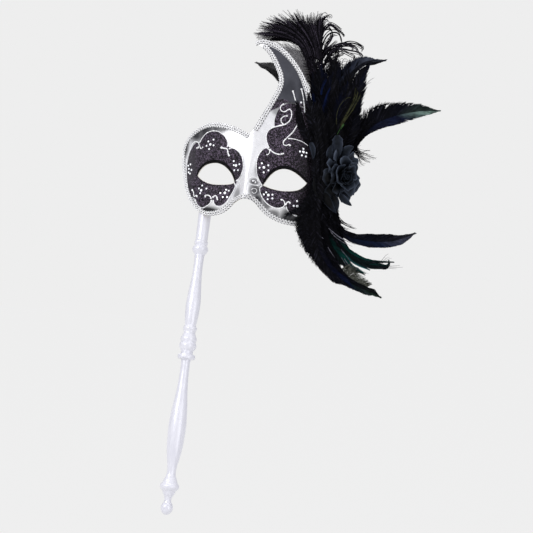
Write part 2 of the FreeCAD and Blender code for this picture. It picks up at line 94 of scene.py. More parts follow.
# Raised scrollwork as (x, z) runs, each with its fullness
SCROLLS = [
    ([(-75, 21.5), (-72, 30), (-70.5, 35), (-67.5, 39.5), (-64.5, 40.5), (-61, 38.8), (-59, 35.5),
      (-56.5, 32.3), (-54, 34)], 0.7),
    ([(-62.5, 33), (-61, 33.6), (-59.3, 34)], 1.0),
    ([(-59.5, 38.5), (-56.5, 44), (-52, 48.5), (-47, 50.3), (-42.5, 50.5), (-37.5, 49.5),
      (-32.5, 46.5), (-28.5, 43), (-25.5, 37.5), (-25, 33)], 0.7),
    ([(-32.5, 32.5), (-29, 31.7), (-25.5, 31), (-24.3, 29), (-23.5, 26), (-22, 24)], 0.95),
    ([(-23.5, 31), (-20.5, 32.2), (-16, 31), (-11, 27), (-8, 22.5), (-6, 16), (-5.5, 10),
      (-6.8, 5), (-9, 1.4), (-12, -1)], 0.7),
    ([(-14, -3.5), (-12.7, -6.5), (-14.5, -11), (-17, -16), (-20, -21.5), (-23.4, -25),
      (-27.5, -27), (-31.5, -27), (-34.5, -24.5), (-36, -21)], 0.75),
    ([(-36.5, -19), (-35, -17), (-32.5, -17.3), (-31, -21)], 0.95),
    ([(-38, -20), (-39.7, -17.5), (-43, -16.3), (-46, -16.8), (-44.8, -18.3)], 0.95),
    ([(-37.5, -21), (-39.5, -24.5), (-44, -27.2), (-48.5, -29), (-53, -27.7), (-56, -24.5),
      (-58.3, -20.5)], 0.75),
    ([(-64, -10), (-61.5, -13), (-60.7, -16), (-59.5, -17.5), (-57.5, -16.5), (-55.5, -18)], 0.9),
    ([(-75, 21.5), (-75.3, 13), (-73, 2.5), (-70, -8), (-65.5, -17), (-63.3, -20)], 0.55),
    ([(13.5, -4), (10.5, 1), (8.3, 6), (7, 13), (6.6, 19), (7.5, 24.5), (9.8, 29.8), (12.5, 33),
      (15.2, 33.7), (17.6, 32.5), (18.5, 30.5), (17.5, 28), (15.5, 27)], 0.65),
    ([(17.5, 34), (14.6, 40), (13.2, 46), (14.5, 51.5), (18, 55), (24, 58), (30, 60)], 0.6),
    ([(18, 33), (20.5, 31), (24, 29.2), (28, 28.6), (32.5, 30)], 0.85),
    ([(27, 81), (24.5, 79), (24, 75.5), (26, 73.2), (29, 73.2), (31.5, 75.5), (33.5, 76),
      (35, 73.5), (35.5, 69.5), (34.5, 65), (32, 61.5), (29, 59.3), (23.5, 57.4), (18, 55.5)], 0.8),
    ([(32, 69), (28.5, 68.3), (26, 65.5), (26.3, 62), (28.5, 60)], 0.7),
    ([(34, 96), (36, 90.5), (38.5, 83.5), (40.5, 75.5), (42, 68.5), (42, 62), (40.5, 57.5),
      (38, 52.5), (35, 48.5), (32.3, 45), (30.5, 42), (31, 39), (33.5, 38.2), (36, 39.5),
      (37.8, 38.2)], 0.85),
    ([(34.5, 45.7), (38.5, 46), (43, 45.5), (48, 44.3), (51, 42.8), (54, 41)], 0.6),
    ([(42, 99.5), (44, 93), (45.5, 87), (46.8, 80.5), (47.5, 74.5)], 0.75),
    ([(13.5, -4), (11.8, -6.5), (12.2, -10.5), (14.5, -15.5), (17.7, -19.3), (21, -22), (25, -24),
      (29, -25), (33, -24.6), (36, -23), (37.2, -20.5), (36.5, -18), (34.5, -16.5),
      (32.8, -16.8)], 0.75),
    ([(38, -21.5), (39, -19), (40.7, -18), (42.5, -19.5)], 0.9),
    ([(38.5, -22.5), (39.7, -25.5), (42, -28), (45.5, -30), (49, -30.7)], 0.75),
    ([(9.6, -0.6), (8.5, 2.4), (5.5, 3.2), (2.2, 1.5), (1.2, -1.5), (2.6, -3.8), (6, -4.6), (10.5, -4.3)],
     0.75),
    ([(5, -1.2), (6.5, -0.2), (8, -1.4), (7, -2.6)], 0.7),
    ([(5, -10), (6.5, -8), (9, -8.5), (9.3, -11), (7.5, -13), (5.5, -11.5)], 0.5),
    ([(-13, -1), (-10, -0.4), (-7.3, -2.3), (-7.3, -5), (-10.5, -4.3)], 0.5),
]

# Rhinestones as (x, z), with a radius where it isn't 1
STONES = [(-48.4, 39.5), (-42.4, 41.2), (-45.3, 36.0, 1.4), (-49.8, 34.8),
          (-41.2, 34.9), (-46.0, 31.2),
          (-17.3, 19.2), (-17.0, 15.2), (-14.4, 14.8, 1.4), (-10.6, 16.0),
          (-16.0, 10.0), (-11.5, 10.0),
          (-69.0, 16.5), (-72.0, 15.2), (-70.6, 11.8), (-67.0, 10.6),
          (-70.6, 8.2), (-68.6, 6.8),
          (-51.4, -6.0), (-55.0, -9.2), (-51.8, -11.2, 1.4), (-45.8, -9.4),
          (-52.6, -14.2),
          (-23.0, -10.1), (-20.0, -10.9), (-28.8, -13.8), (-24.0, -13.4, 1.4),
          (-25.6, -17.8), (-21.0, -17.5),
          (11.6, 18.3), (17.9, 17.0), (9.8, 13.5), (13.8, 14.4, 1.4),
          (18.3, 12.0), (13.9, 9.5),
          (50.0, 37.0), (47.2, 33.8), (50.4, 33.8, 1.4), (53.3, 33.4),
          (49.2, 30.2), (53.0, 29.6),
          (46.4, 55.6), (49.2, 55.4), (48.6, 51.6),
          (43.2, 84.6), (44.6, 74.2),
          (18.0, -10.2), (16.0, -12.6), (20.4, -12.8, 1.4), (24.4, -12.1),
          (24.8, -15.9), (20.2, -17.0),
          (48.3, -16.3), (45.6, -21.2), (49.0, -21.3, 1.4), (48.2, -25.0)]

# Thickness of the glitter panels, width of the braid and length of one turn of its thread
PANEL_T = 0.35
BRAID_W = 4.3
BRAID_TURN = 2.9


# ---------------------------------------------------------------- places and curves

def at(x, y, z):
    """A point measured from the mask's centre, as a place in the row frame."""
    return (Vector((x, y, z)) + MASK_AT) * MM


def depth(x, z):
    """How far the shell's front lies behind the plane of the nose bridge."""
    side = abs(x)
    wrap = 34.0 * (math.hypot(x, 1.0) / 78.0) ** 2.1
    nose = (3.0 + 14.0 / (1.0 + math.exp((z - 8.0) / 9.0))) * math.exp(-(x / 10.0) ** 2)
    socket = 3.0 * math.exp(-((side - 35.0) / 20.0) ** 2 - ((z - 3.0) / 13.0) ** 2)
    brow = 3.0 * math.exp(-((side - 32.0) / 24.0) ** 2 - ((z - 30.0) / 10.0) ** 2)
    cheek = 3.5 * math.exp(-((side - 38.0) / 20.0) ** 2 - ((z + 20.0) / 9.0) ** 2)
    lean = 0.18 * 12.0 * math.log1p(math.exp((z - 30.0) / 12.0))
    tuck = 0.008 * min(0.0, z + 20.0) ** 2
    return wrap - nose + socket - brow - cheek + lean + tuck


def shell_normal(x, z):
    """Outward normal of the shell's front."""
    step = 0.5
    along_x = (depth(x + step, z) - depth(x - step, z)) / (2 * step)
    along_z = (depth(x, z + step) - depth(x, z - step)) / (2 * step)
    return Vector((along_x, -1.0, along_z)).normalized()


def node_tree(name):
    """A search tree over a CAD node's faces."""
    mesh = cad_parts[name].data
    return BVHTree.FromPolygons([v.co for v in mesh.vertices], [p.vertices for p in mesh.polygons])


SHELL_TREE = node_tree("mask_shell")


def on_shell(x, z, lift=0.0):
    """The point over (x, z) that stands lift off the shell's front, and the normal there."""
    out = shell_normal(x, z)
    start = at(x, -80, z)
    hit = SHELL_TREE.ray_cast(start, Vector((0, 1, 0)))
    surface = at(x, depth(x, z), z)
    if hit[0] is not None and (hit[0] - surface).length < 1.5 * MM:
        surface = hit[0]
    return surface + out * (lift * MM), out


def smooth(points, step):
    """Points evenly spaced along a smooth curve through the given points, of any dimension."""
    pts = [Vector(p) for p in points]
    ends = [pts[0] * 2 - pts[1]] + pts + [pts[-1] * 2 - pts[-2]]
    fine = []
    for i in range(1, len(ends) - 2):
        a, b, c, d = ends[i - 1:i + 3]
        for k in range(16):
            t = k / 16
            fine.append(0.5 * (b * 2 + (c - a) * t + (a * 2 - b * 5 + c * 4 - d) * t * t
                               + (b * 3 - a - c * 3 + d) * t ** 3))
    fine.append(pts[-1])
    lengths = [0.0]
    for a, b in zip(fine, fine[1:]):
        lengths.append(lengths[-1] + (b - a).length)
    count = max(2, int(round(lengths[-1] / step)))
    out = []
    j = 0
    for i in range(count + 1):
        want = lengths[-1] * i / count
        while j < len(lengths) - 2 and lengths[j + 1] < want:
            j += 1
        span = max(lengths[j + 1] - lengths[j], 1e-9)
        out.append(fine[j].lerp(fine[j + 1], min(1.0, (want - lengths[j]) / span)))
    return out


class Chance(random.Random):
    """Repeatable random draws."""

    def sway(self, reach):
        return self.uniform(-reach, reach)


def ramp(value, stops):
    """Linear interpolation through (position, value) stops."""
    if value <= stops[0][0]:
        return stops[0][1]
    for (p, a), (q, b) in zip(stops, stops[1:]):
        if value <= q:
            return a + (b - a) * (value - p) / (q - p)
    return stops[-1][1]


# ---------------------------------------------------------------- gathering meshes

class Gather:
    """Vertices and faces, with three values a vertex, before they become one mesh."""

    def __init__(self):
        self.verts = []
        self.faces = []
        self.tone = []
        self.along = []
        self.out = []

    def point(self, co, tone=0.5, along=0.0, out=0.0):
        self.verts.append(co)
        self.tone.append(tone)
        self.along.append(along)
        self.out.append(out)
        return len(self.verts) - 1

    def sheet(self, rows):
        """Four-sided faces between rows of points."""
        for one, two in zip(rows, rows[1:]):
            for i in range(len(one) - 1):
                self.faces.append((one[i], one[i + 1], two[i + 1], two[i]))

    def ribbon(self, path, widths, across, tone=0.5, along=0.0):
        """A flat strip along a path; across gives its width direction at each point."""
        rows = []
        last = len(path) - 1
        for i, p in enumerate(path):
            half = across[i] * (widths[i] / 2)
            rows.append([self.point(p - half, tone, along, i / last),
                         self.point(p + half, tone, along, i / last)])
        self.sheet(rows)

    def tube(self, path, radii, sides=6, tone=0.5, flat=1.0, ups=None):
        """A round or flattened tube along a path, with capped ends.

        ups holds the lift direction at each point; without it the lift turns as little as it can."""
        rings = []
        last = len(path) - 1
        lift = Vector((0.3, 0.2, 0.9))
        for i, p in enumerate(path):
            along = (path[min(i + 1, last)] - path[max(i - 1, 0)]).normalized()
            side = along.cross(ups[i] if ups else lift).normalized()
            lift = side.cross(along).normalized()
            ring = []
            for k in range(sides):
                angle = 2 * math.pi * k / sides
                co = p + side * (math.cos(angle) * radii[i]) + lift * (math.sin(angle) * radii[i] * flat)
                ring.append(self.point(co, tone, i / max(1, last), k / sides))
            rings.append(ring)
        for one, two in zip(rings, rings[1:]):
            for k in range(sides):
                n = (k + 1) % sides
                self.faces.append((one[k], one[n], two[n], two[k]))
        self.faces += [tuple(reversed(rings[0])), tuple(rings[-1])]

    def build(self, name, mat, shaded=True):
        mesh = bpy.data.meshes.new(name)
        mesh.from_pydata(self.verts, [], self.faces)
        for label in ("tone", "along", "out"):
            layer = mesh.attributes.new(label, "FLOAT", "POINT")
            layer.data.foreach_set("value", getattr(self, label))
        if shaded:
            mesh.polygons.foreach_set("use_smooth", [True] * len(mesh.polygons))
        mesh.materials.append(mat)
        mesh.update()
        piece = bpy.data.objects.new(name, mesh)
        bpy.context.scene.collection.objects.link(piece)
        return piece


def settle(piece, body, slot, *nodes):
    """Ride a piece on a body and hide the CAD nodes it stands for; slot is not used."""
    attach(piece, body)
    if nodes:
        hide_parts(*nodes)
    return piece


# ---------------------------------------------------------------- materials

class Nodes:
    """Short calls that add nodes to a node tree."""

    def __init__(self, tree):
        self.tree = tree

    def node(self, kind, inputs=None, **settings):
        made = self.tree.nodes.new(kind)
        for key, value in settings.items():
            setattr(made, key, value)
        for key, value in (inputs or {}).items():
            self.feed(made.inputs[key], value)
        return made

    def feed(self, socket, value):
        if isinstance(value, bpy.types.NodeSocket):
            self.tree.links.new(value, socket)
        else:
            socket.default_value = value

    def place(self, scale=(1, 1, 1)):
        coords = self.node("ShaderNodeTexCoord")
        mapping = self.node("ShaderNodeMapping", {"Vector": coords.outputs["Object"], "Scale": scale})
        return mapping.outputs["Vector"]

    def noise(self, scale, detail=3.0, rough=0.55, vector=None, distort=0.0):
        made = self.node("ShaderNodeTexNoise", {"Scale": scale, "Detail": detail, "Roughness": rough,
                                                "Distortion": distort})
        self.feed(made.inputs["Vector"], vector or self.place())
        return made.outputs["Fac"]

    def cells(self, scale, output="Color"):
        made = self.node("ShaderNodeTexVoronoi", {"Scale": scale, "Vector": self.place()})
        return made.outputs[output]

    def grain(self, scale, channel=0):
        """One random value for each small cell."""
        return self.node("ShaderNodeSeparateColor", {"Color": self.cells(scale)}).outputs[channel]

    def math(self, kind, a, b=0.0, clamp=False):
        made = self.node("ShaderNodeMath", operation=kind, use_clamp=clamp)
        self.feed(made.inputs[0], a)
        self.feed(made.inputs[1], b)
        return made.outputs[0]

    def times(self, a, b, clamp=False):
        return self.math("MULTIPLY", a, b, clamp)

    def vector(self, kind, *values, scale=None):
        made = self.node("ShaderNodeVectorMath", operation=kind)
        for socket, value in zip(made.inputs, values):
            self.feed(socket, value)
        if scale is not None:
            made.inputs["Scale"].default_value = scale
        return made.outputs["Value" if kind == "LENGTH" else "Vector"]

    def spread(self, value, low, high, to_low=0.0, to_high=1.0, smooth_step=False):
        made = self.node("ShaderNodeMapRange", {"From Min": low, "From Max": high,
                                                "To Min": to_low, "To Max": to_high})
        if smooth_step:
            made.interpolation_type = "SMOOTHSTEP"
        self.feed(made.inputs["Value"], value)
        return made.outputs["Result"]

    def colours(self, value, stops):
        made = self.node("ShaderNodeValToRGB")
        marks = made.color_ramp.elements
        while len(marks) < len(stops):
            marks.new(0.5)
        for element, (position, colour) in zip(marks, stops):
            element.position = position
            element.color = (*colour, 1.0)
        self.feed(made.inputs["Fac"], value)
        return made.outputs["Color"]

    def mix(self, share, a, b):
        made = self.node("ShaderNodeMix", {0: share}, data_type="RGBA")
        for number, colour in ((6, a), (7, b)):
            if not isinstance(colour, bpy.types.NodeSocket):
                colour = (*colour, 1.0)
            self.feed(made.inputs[number], colour)
        return made.outputs[2]

    def bump(self, height, strength, distance, onto=None):
        made = self.node("ShaderNodeBump", {"Height": height, "Strength": strength, "Distance": distance})
        if onto is not None:
            self.feed(made.inputs["Normal"], onto)
        return made.outputs["Normal"]

    def attribute(self, label):
        return self.node("ShaderNodeAttribute", attribute_name=label).outputs["Fac"]

    def blob(self, centre, radii):
        """One inside an ellipsoid about a place, falling to none at its edge."""
        coords = self.node("ShaderNodeTexCoord")
        shift = self.vector("SUBTRACT", coords.outputs["Object"], centre)
        size = self.vector("LENGTH", self.vector("DIVIDE", shift, [r * MM for r in radii]))
        return self.spread(size, 1.0, 0.35, smooth_step=True)


class Shader(Nodes):
    """A node material."""

    def __init__(self, name):
        self.mat = bpy.data.materials.new(name)
        self.mat.use_nodes = True
        super().__init__(self.mat.node_tree)
        self.bsdf = next(n for n in self.tree.nodes if n.type == "BSDF_PRINCIPLED")

    def set(self, **values):
        for key, value in values.items():
            self.feed(self.bsdf.inputs[key.replace("_", " ")], value)


def sparkle_normal(shader, scale, amount):
    """A normal that tilts a little from grain to grain, for glitter."""
    centred = shader.vector("SUBTRACT", shader.cells(scale), (0.5, 0.5, 0.5))
    geometry = shader.node("ShaderNodeNewGeometry")
    tilted = shader.vector("ADD", shader.vector("SCALE", centred, scale=amount), geometry.outputs["Normal"])
    return shader.vector("NORMALIZE", tilted)


def silver_paint():
    """Sprayed silver on the shell's front, darkened at the edges and on the nose's flanks partly by black
    airbrush and partly by painted shade and reflection; bare plastic inside.
    """
    s = Shader("silver_shell_paint")
    # Dark spots: partly black airbrush at the edges, partly painted shade and painted reflection on the
    # nose's flanks and where the shell turns away
    dark = 0.0
    for spot, radii, weight in [((-60, 25, 52), (32, 34, 18), 1.0), ((-80, 36, 38), (9, 16, 22), 0.9),
                                ((-38, 8, 55), (25, 26, 10), 0.9), ((-42, 10, -33), (22, 24, 8.5), 1.0),
                                ((11, -4, -21), (9, 20, 13), 0.95), ((8, -4, -10), (8, 20, 9), 0.85),
                                ((6.5, -4, -1.5), (5.5, 20, 5), 0.85), ((19, 0, -22), (8, 22, 9), 0.85),
                                ((25, 2, -32), (14, 22, 8), 0.75),
                                ((44, 14, -34), (20, 26, 15), 1.0), ((22, 14, 74), (10, 22, 9), 0.6),
                                ((38, 20, 83), (17, 30, 8), 1.0), ((7, 8, 82), (4, 20, 34), 0.3),
                                ((-80, 36, 0), (6, 20, 24), 0.6), ((-66, 25, -24), (9, 20, 12), 0.5),
                                ((-10, -6, -16), (6, 18, 11), 0.55), ((8, -2, 14), (4, 16, 14), 0.4)]:
        here = s.times(s.blob(at(*spot), radii), weight)
        dark = here if dark == 0.0 else s.math("MAXIMUM", dark, here)
    wisps = s.noise(60, 4.0)
    dark = s.times(dark, s.spread(wisps, 0.2, 0.7, 0.8, 1.1), clamp=True)
    mottled = s.colours(s.noise(220, 5.0), [(0.3, (0.82, 0.82, 0.84)), (0.7, (0.93, 0.93, 0.95))])
    painted = s.mix(dark, mottled, (0.014, 0.014, 0.018))
    geometry = s.node("ShaderNodeNewGeometry")
    split = s.node("ShaderNodeSeparateXYZ", {"Vector": geometry.outputs["True Normal"]})
    inside = s.spread(split.outputs["Y"], -0.32, -0.22)
    bare = s.colours(s.noise(90, 4.0), [(0.3, (0.58, 0.53, 0.44)), (0.7, (0.70, 0.65, 0.55))])
    front = s.math("SUBTRACT", 1.0, inside)
    flake = s.spread(s.noise(2600, 2.0), 0.35, 0.65, 0.0, 1.0)
    s.set(Base_Color=s.mix(inside, painted, bare), Metallic=s.times(front, 0.5),
          Roughness=s.spread(flake, 0, 1, 0.27, 0.40), Coat_Weight=0.15, Coat_Roughness=0.12,
          Specular_IOR_Level=0.35)
    orange_peel = s.bump(s.noise(420, 2.0), 0.12, 0.0006)
    s.set(Normal=s.bump(flake, 0.08, 0.0002, orange_peel))
    return s.mat


def glitter_look(s):
    """Colour, metal share and normal of black paint packed with fine glitter, darkened towards the right
    temple by a painted shadow.
    """
    value = s.grain(1700)
    coarse = s.grain(900, 1)
    flecks = s.colours(value, [(0.0, (0.001, 0.0008, 0.001)), (0.45, (0.002, 0.0015, 0.003)),
                               (0.75, (0.014, 0.010, 0.017)), (0.96, (0.17, 0.135, 0.19))])
    lit = s.mix(s.spread(coarse, 0.76, 0.90, 0.0, 0.85), flecks, (0.125, 0.096, 0.140))
    # painted shadow of the feathers over the right temple
    painted_shadow = s.times(s.blob(at(66, 20, 22), (34, 60, 80)), 0.72)
    lit = s.mix(painted_shadow, lit, (0.0, 0.0, 0.0))
    normal = s.bump(s.cells(1350, "Distance"), 0.4, 0.00022, sparkle_normal(s, 1350, 0.5))
    return lit, s.spread(value, 0.6, 0.95, 0.0, 0.7), normal


def glitter_black():
    """Black glitter paint, with a painted grey reflection where the left side turns away."""
    s = Shader("black_glitter_paint")
    lit, metal, normal = glitter_look(s)
    # painted reflection: greyer where the left side turns away
    painted_light_mix = s.times(s.blob(at(-72, 26, 14), (16, 26, 34)), 0.75)
    s.set(Base_Color=s.mix(painted_light_mix, lit, (0.050, 0.046, 0.054)), Metallic=metal, Roughness=0.45,
          Specular_IOR_Level=0.18, Normal=normal)
    return s.mat


def horn_satin():
    """Charcoal satin paint up the horn, with painted shade towards its right edge and the glitter's arch at
    its foot.
    """
    s = Shader("horn_charcoal_satin")
    # painted shade: darker towards the horn's right edge beside the feathers
    shade = s.math("MAXIMUM", s.blob(at(50, 30, 100), (15, 30, 34)),
                   s.times(s.blob(at(30, 25, 96), (11, 30, 16)), 0.45))
    tone = s.math("SUBTRACT", s.spread(s.noise(120, 5.0), 0.25, 0.75, 0.75, 1.0), s.times(shade, 0.6))
    grey = s.colours(tone, [(0.0, (0.012, 0.013, 0.017)), (0.5, (0.036, 0.037, 0.046)),
                            (1.0, (0.078, 0.080, 0.096))])
    lit, metal, normal = glitter_look(s)
    arch = s.math("MAXIMUM", s.blob(at(25, 21, 67), (17.5, 60, 21.5)), s.blob(at(44, 26, 67), (18, 60, 19)))
    arch = s.spread(arch, 0.04, 0.09)
    s.set(Base_Color=s.mix(arch, grey, lit), Metallic=s.mix(arch, (0.45, 0.45, 0.45), metal),
          Roughness=s.spread(s.noise(900, 2.0), 0.3, 0.7, 0.38, 0.5), Specular_IOR_Level=0.25)
    satin = s.bump(s.noise(700, 3.0), 0.12, 0.0003)
    s.set(Normal=s.mix(arch, satin, normal))
    return s.mat


def braid_thread():
    """Metallic thread wound round a cord, with painted shade where a strand lies low and a painted highlight
    where it rides on top; tone is one where a strand rides on top.
    """
    s = Shader("silver_braid_thread")
    turn = s.math("ADD", s.times(s.attribute("along"), 900.0),
                  s.times(s.attribute("out"), 6.283))
    wound = s.math("SINE", turn)
    # painted shade and highlight: the colour follows how high a strand rides, with the twist's stripes
    lift = s.spread(s.attribute("tone"), 0.10, 0.85)
    tone = s.math("ADD", s.times(lift, 0.62),
                  s.math("ADD", s.times(wound, 0.10), s.times(s.noise(420, 3.0), 0.35)))
    colour = s.colours(tone, [(0.10, (0.008, 0.008, 0.010)), (0.32, (0.36, 0.36, 0.375)),
                              (0.54, (0.97, 0.97, 0.98))])
    s.set(Base_Color=colour, Metallic=0.35, Roughness=s.spread(s.noise(1500, 2.0), 0.3, 0.7, 0.28, 0.5))
    s.set(Normal=s.bump(wound, 0.35, 0.00025))
    return s.mat


def glue_glitter():
    """Raised silver glitter glue, with a faint emission as a painted glow."""
    s = Shader("silver_glitter_glue")
    tone = s.colours(s.grain(1700), [(0.0, (0.45, 0.45, 0.48)), (0.3, (0.85, 0.85, 0.87)),
                                     (0.7, (1.0, 1.0, 1.0))])
    # faint emission: a painted glow
    s.set(Base_Color=tone, Metallic=0.1, Roughness=0.32, Coat_Weight=0.4, Coat_Roughness=0.15,
          Emission_Color=(0.9, 0.92, 1.0, 1.0), Emission_Strength=0.12)
    s.set(Normal=s.bump(s.cells(1700, "Distance"), 0.5, 0.00025, sparkle_normal(s, 1700, 0.55)))
    return s.mat


def clouded(name, cloud, low, high, rough, relief, **more):
    """A plain material in one clouded colour, from low to high, with a fine relief.

    cloud and the first item of relief say what noise they come from; a pair for rough follows the cloud."""
    s = Shader(name)
    shade = s.noise(*cloud)
    if isinstance(rough, tuple):
        rough = s.spread(shade, 0.3, 0.7, *rough)
    fine, strength, distance = relief
    s.set(Base_Color=s.colours(shade, [(0.3, low), (0.7, high)]), Roughness=rough,
          Normal=s.bump(s.noise(*fine), strength, distance), **more)
    return s.mat


def black_felt():
    """Pressed fibres."""
    s = Shader("black_felt")
    fibres = s.noise(1400, 6.0, 0.7, s.place((1.0, 1.0, 0.35)), 1.5)
    s.set(Base_Color=s.colours(fibres, [(0.3, (0.006, 0.006, 0.007)), (0.75, (0.022, 0.022, 0.026))]),
          Roughness=0.95, Sheen_Weight=0.12, Sheen_Roughness=0.5)
    s.set(Normal=s.bump(fibres, 0.6, 0.0005))
    return s.mat


def pearl_wood():
    """Turned wood under pearl silver paint."""
    s = Shader("pearl_painted_wood")
    grain = s.noise(55, 6.0, 0.6, s.place((14.0, 14.0, 0.7)), 0.3)
    rings = s.noise(1, 3.0, 0.5, s.place((20.0, 20.0, 1100.0)))
    cloudy = s.noise(45, 3.0)
    tone = s.colours(s.math("ADD", s.times(grain, 0.6), s.times(cloudy, 0.4)),
                     [(0.3, (0.72, 0.72, 0.80)), (0.7, (0.84, 0.84, 0.90))])
    s.set(Base_Color=tone, Metallic=0.12, Roughness=s.spread(grain, 0.3, 0.7, 0.28, 0.40),
          Coat_Weight=0.5, Coat_Roughness=0.18, Sheen_Weight=0.1)
    s.set(Normal=s.bump(rings, 0.05, 0.0002, s.bump(grain, 0.10, 0.0004)))
    return s.mat


def satin_cloth(name, shade, mid, edge, weave=2600.0, deep=False):
    """Fine woven cloth, with a painted highlight at its rims, a painted shadow at the rose's lower left and,
    with deep, painted shade towards the base; out runs from the base to the rim.
    """
    s = Shader(name)
    ring = s.attribute("out")
    # mottled tone plus a painted highlight towards the rim
    painted_light_mix = s.math("ADD", s.times(s.noise(170, 5.0), 0.55), s.times(ring, 0.45))
    colour = s.colours(painted_light_mix, [(0.25, shade), (0.6, mid), (0.92, edge)])
    # painted shade: darker towards the petal's base
    if deep:
        colour = s.mix(s.spread(s.attribute("along"), 0.35, 0.97), (0.0006, 0.0008, 0.0012), colour)
    # painted shadow at the rose's lower left
    painted_shadow = s.times(s.blob(at(74, 16, -4), (21, 34, 32)), s.spread(ring, 0.2, 0.8, 1.7, 0.75), clamp=True)
    colour = s.mix(painted_shadow, colour, (0.0006, 0.0008, 0.0012))
    warp, weft = (s.node("ShaderNodeTexWave", {"Scale": weave, "Distortion": 1.0, "Detail": 1.0,
                                               "Vector": s.place()},
                         bands_direction=way).outputs["Fac"] for way in ("X", "Z"))
    cloth = s.math("MAXIMUM", warp, weft)
    s.set(Base_Color=colour, Roughness=0.62, Sheen_Weight=0.04, Sheen_Roughness=0.35,
          Sheen_Tint=(0.55, 0.65, 0.85, 1.0), Specular_IOR_Level=0.09)
    creases = s.bump(s.noise(260, 4.0), 0.25, 0.0010)
    s.set(Normal=s.bump(cloth, 0.25, 0.00012, creases))
    return s.mat


def plumage(name, dark, mid, bright, sheen=None, gloss=0.5, rare=7.0):
    """Feather barbs, a few of them brighter: a painted highlight on dark plumage, the barbs' own paler tone
    on herl and fuzz; a painted sheen colours the barbs of one side of the shaft.

    The painted sheen shows where the tone is over a half, more strongly towards the tip."""
    s = Shader(name)
    tone = s.attribute("tone")
    along = s.attribute("along")
    streak = s.noise(420, 4.0, 0.65)
    own = s.math("FRACT", s.times(tone, 17.0))
    colour = s.colours(streak, [(0.34, dark), (0.66, mid)])
    # brighter barbs: painted highlights on dark plumage, own paler tone on herl and fuzz
    pale_tone_and_painted_glint = s.times(s.math("POWER", own, rare), s.spread(streak, 0.3, 0.6), clamp=True)
    colour = s.mix(pale_tone_and_painted_glint, colour, bright)
    if sheen is not None:
        start, end, tint, tip = sheen
        patch = s.spread(s.noise(70, 3.0), 0.35, 0.62, 0.25, 1.0)
        side = s.spread(tone, 0.42, 0.60, 0.12, 1.0)
        reach = s.times(s.spread(along, start, end), s.times(patch, side), clamp=True)
        streaks = s.spread(s.math("FRACT", s.times(tone, 29.0)), 0.0, 1.0, 0.45, 1.0)
        hue = s.mix(s.spread(along, 0.62, 0.9), tint, tip)
        colour = s.mix(s.times(reach, streaks), colour, hue)
    s.set(Base_Color=colour, Roughness=s.spread(streak, 0.3, 0.7, gloss, gloss + 0.18),
          Specular_IOR_Level=0.04)
    s.set(Normal=s.bump(s.noise(1200, 3.0), 0.15, 0.0002))
    return s.mat


SILVER = silver_paint()
GLITTER = glitter_black()
HORN = horn_satin()
THREAD = braid_thread()
GLUE_LINE = glue_glitter()
# the stones' emission is a painted glint
CRYSTAL = clouded("rhinestone_crystal", (800, 1.0), (0.86, 0.88, 0.94), (1.0, 1.0, 1.0), 0.08,
                  ((1500, 1.0), 0.03, 0.0001), Metallic=0.3, IOR=1.6, Coat_Weight=1.0, Coat_Roughness=0.02,
                  Emission_Color=(0.9, 0.93, 1.0, 1.0), Emission_Strength=0.35)
LID = clouded("eyelid_black", (180, 3.0), (0.0008, 0.0008, 0.001), (0.003, 0.003, 0.004), (0.40, 0.52),
              ((500, 2.0), 0.15, 0.0003), Specular_IOR_Level=0.08)
CREAM = clouded("cream_cut_edge", (300, 4.0), (0.66, 0.62, 0.54), (0.86, 0.83, 0.76), 0.5,
                ((300, 4.0), 0.3, 0.0002))
FELT = black_felt()
PEARL = pearl_wood()
HOT_GLUE = clouded("set_hot_glue", (160, 4.0), (0.66, 0.62, 0.50), (0.82, 0.79, 0.68), 0.32,
                   ((240, 2.0), 0.45, 0.0012), Subsurface_Weight=0.25, Subsurface_Scale=0.004)
ROSE = satin_cloth("rose_petal_cloth", (0.006, 0.008, 0.013), (0.026, 0.034, 0.050), (0.100, 0.118, 0.165),
                   deep=True)
# a darker copy of the petal cloth, painted shade for the rose's hollow heart
SHADED_HEART_ROSE = satin_cloth("rose_heart_cloth_painted_shade", (0.001, 0.0013, 0.002), (0.004, 0.006, 0.010),
                         (0.030, 0.040, 0.058), deep=True)
LEAF = satin_cloth("rose_leaf_cloth", (0.005, 0.007, 0.011), (0.020, 0.026, 0.040), (0.075, 0.085, 0.12),
                   2200)
TAPE = satin_cloth("stem_tape", (0.004, 0.007, 0.006), (0.012, 0.020, 0.017), (0.03, 0.04, 0.035), 1500)
BLACK = ((0.0006, 0.0006, 0.0010), (0.0020, 0.0020, 0.0032), (0.020, 0.020, 0.030))
OSTRICH = plumage("ostrich_barbs", (0.0006, 0.0005, 0.0009), (0.0030, 0.0026, 0.0042), (0.062, 0.052, 0.076),
                  rare=3.0)
HACKLE = plumage("hackle_barbs", *BLACK)
NAVY = plumage("navy_barbs", *BLACK, (0.1, 0.5, (0.0009, 0.0018, 0.009), (0.0010, 0.0022, 0.011)))
SLATE = plumage("slate_barbs", *BLACK, (0.15, 0.45, (0.022, 0.028, 0.052), (0.085, 0.096, 0.130)))
HORN_GREY = plumage("grey_barbs", (0.006, 0.006, 0.007), (0.022, 0.021, 0.024), (0.09, 0.09, 0.095),
                    (0.4, 0.8, (0.05, 0.05, 0.053), (0.13, 0.13, 0.135)))
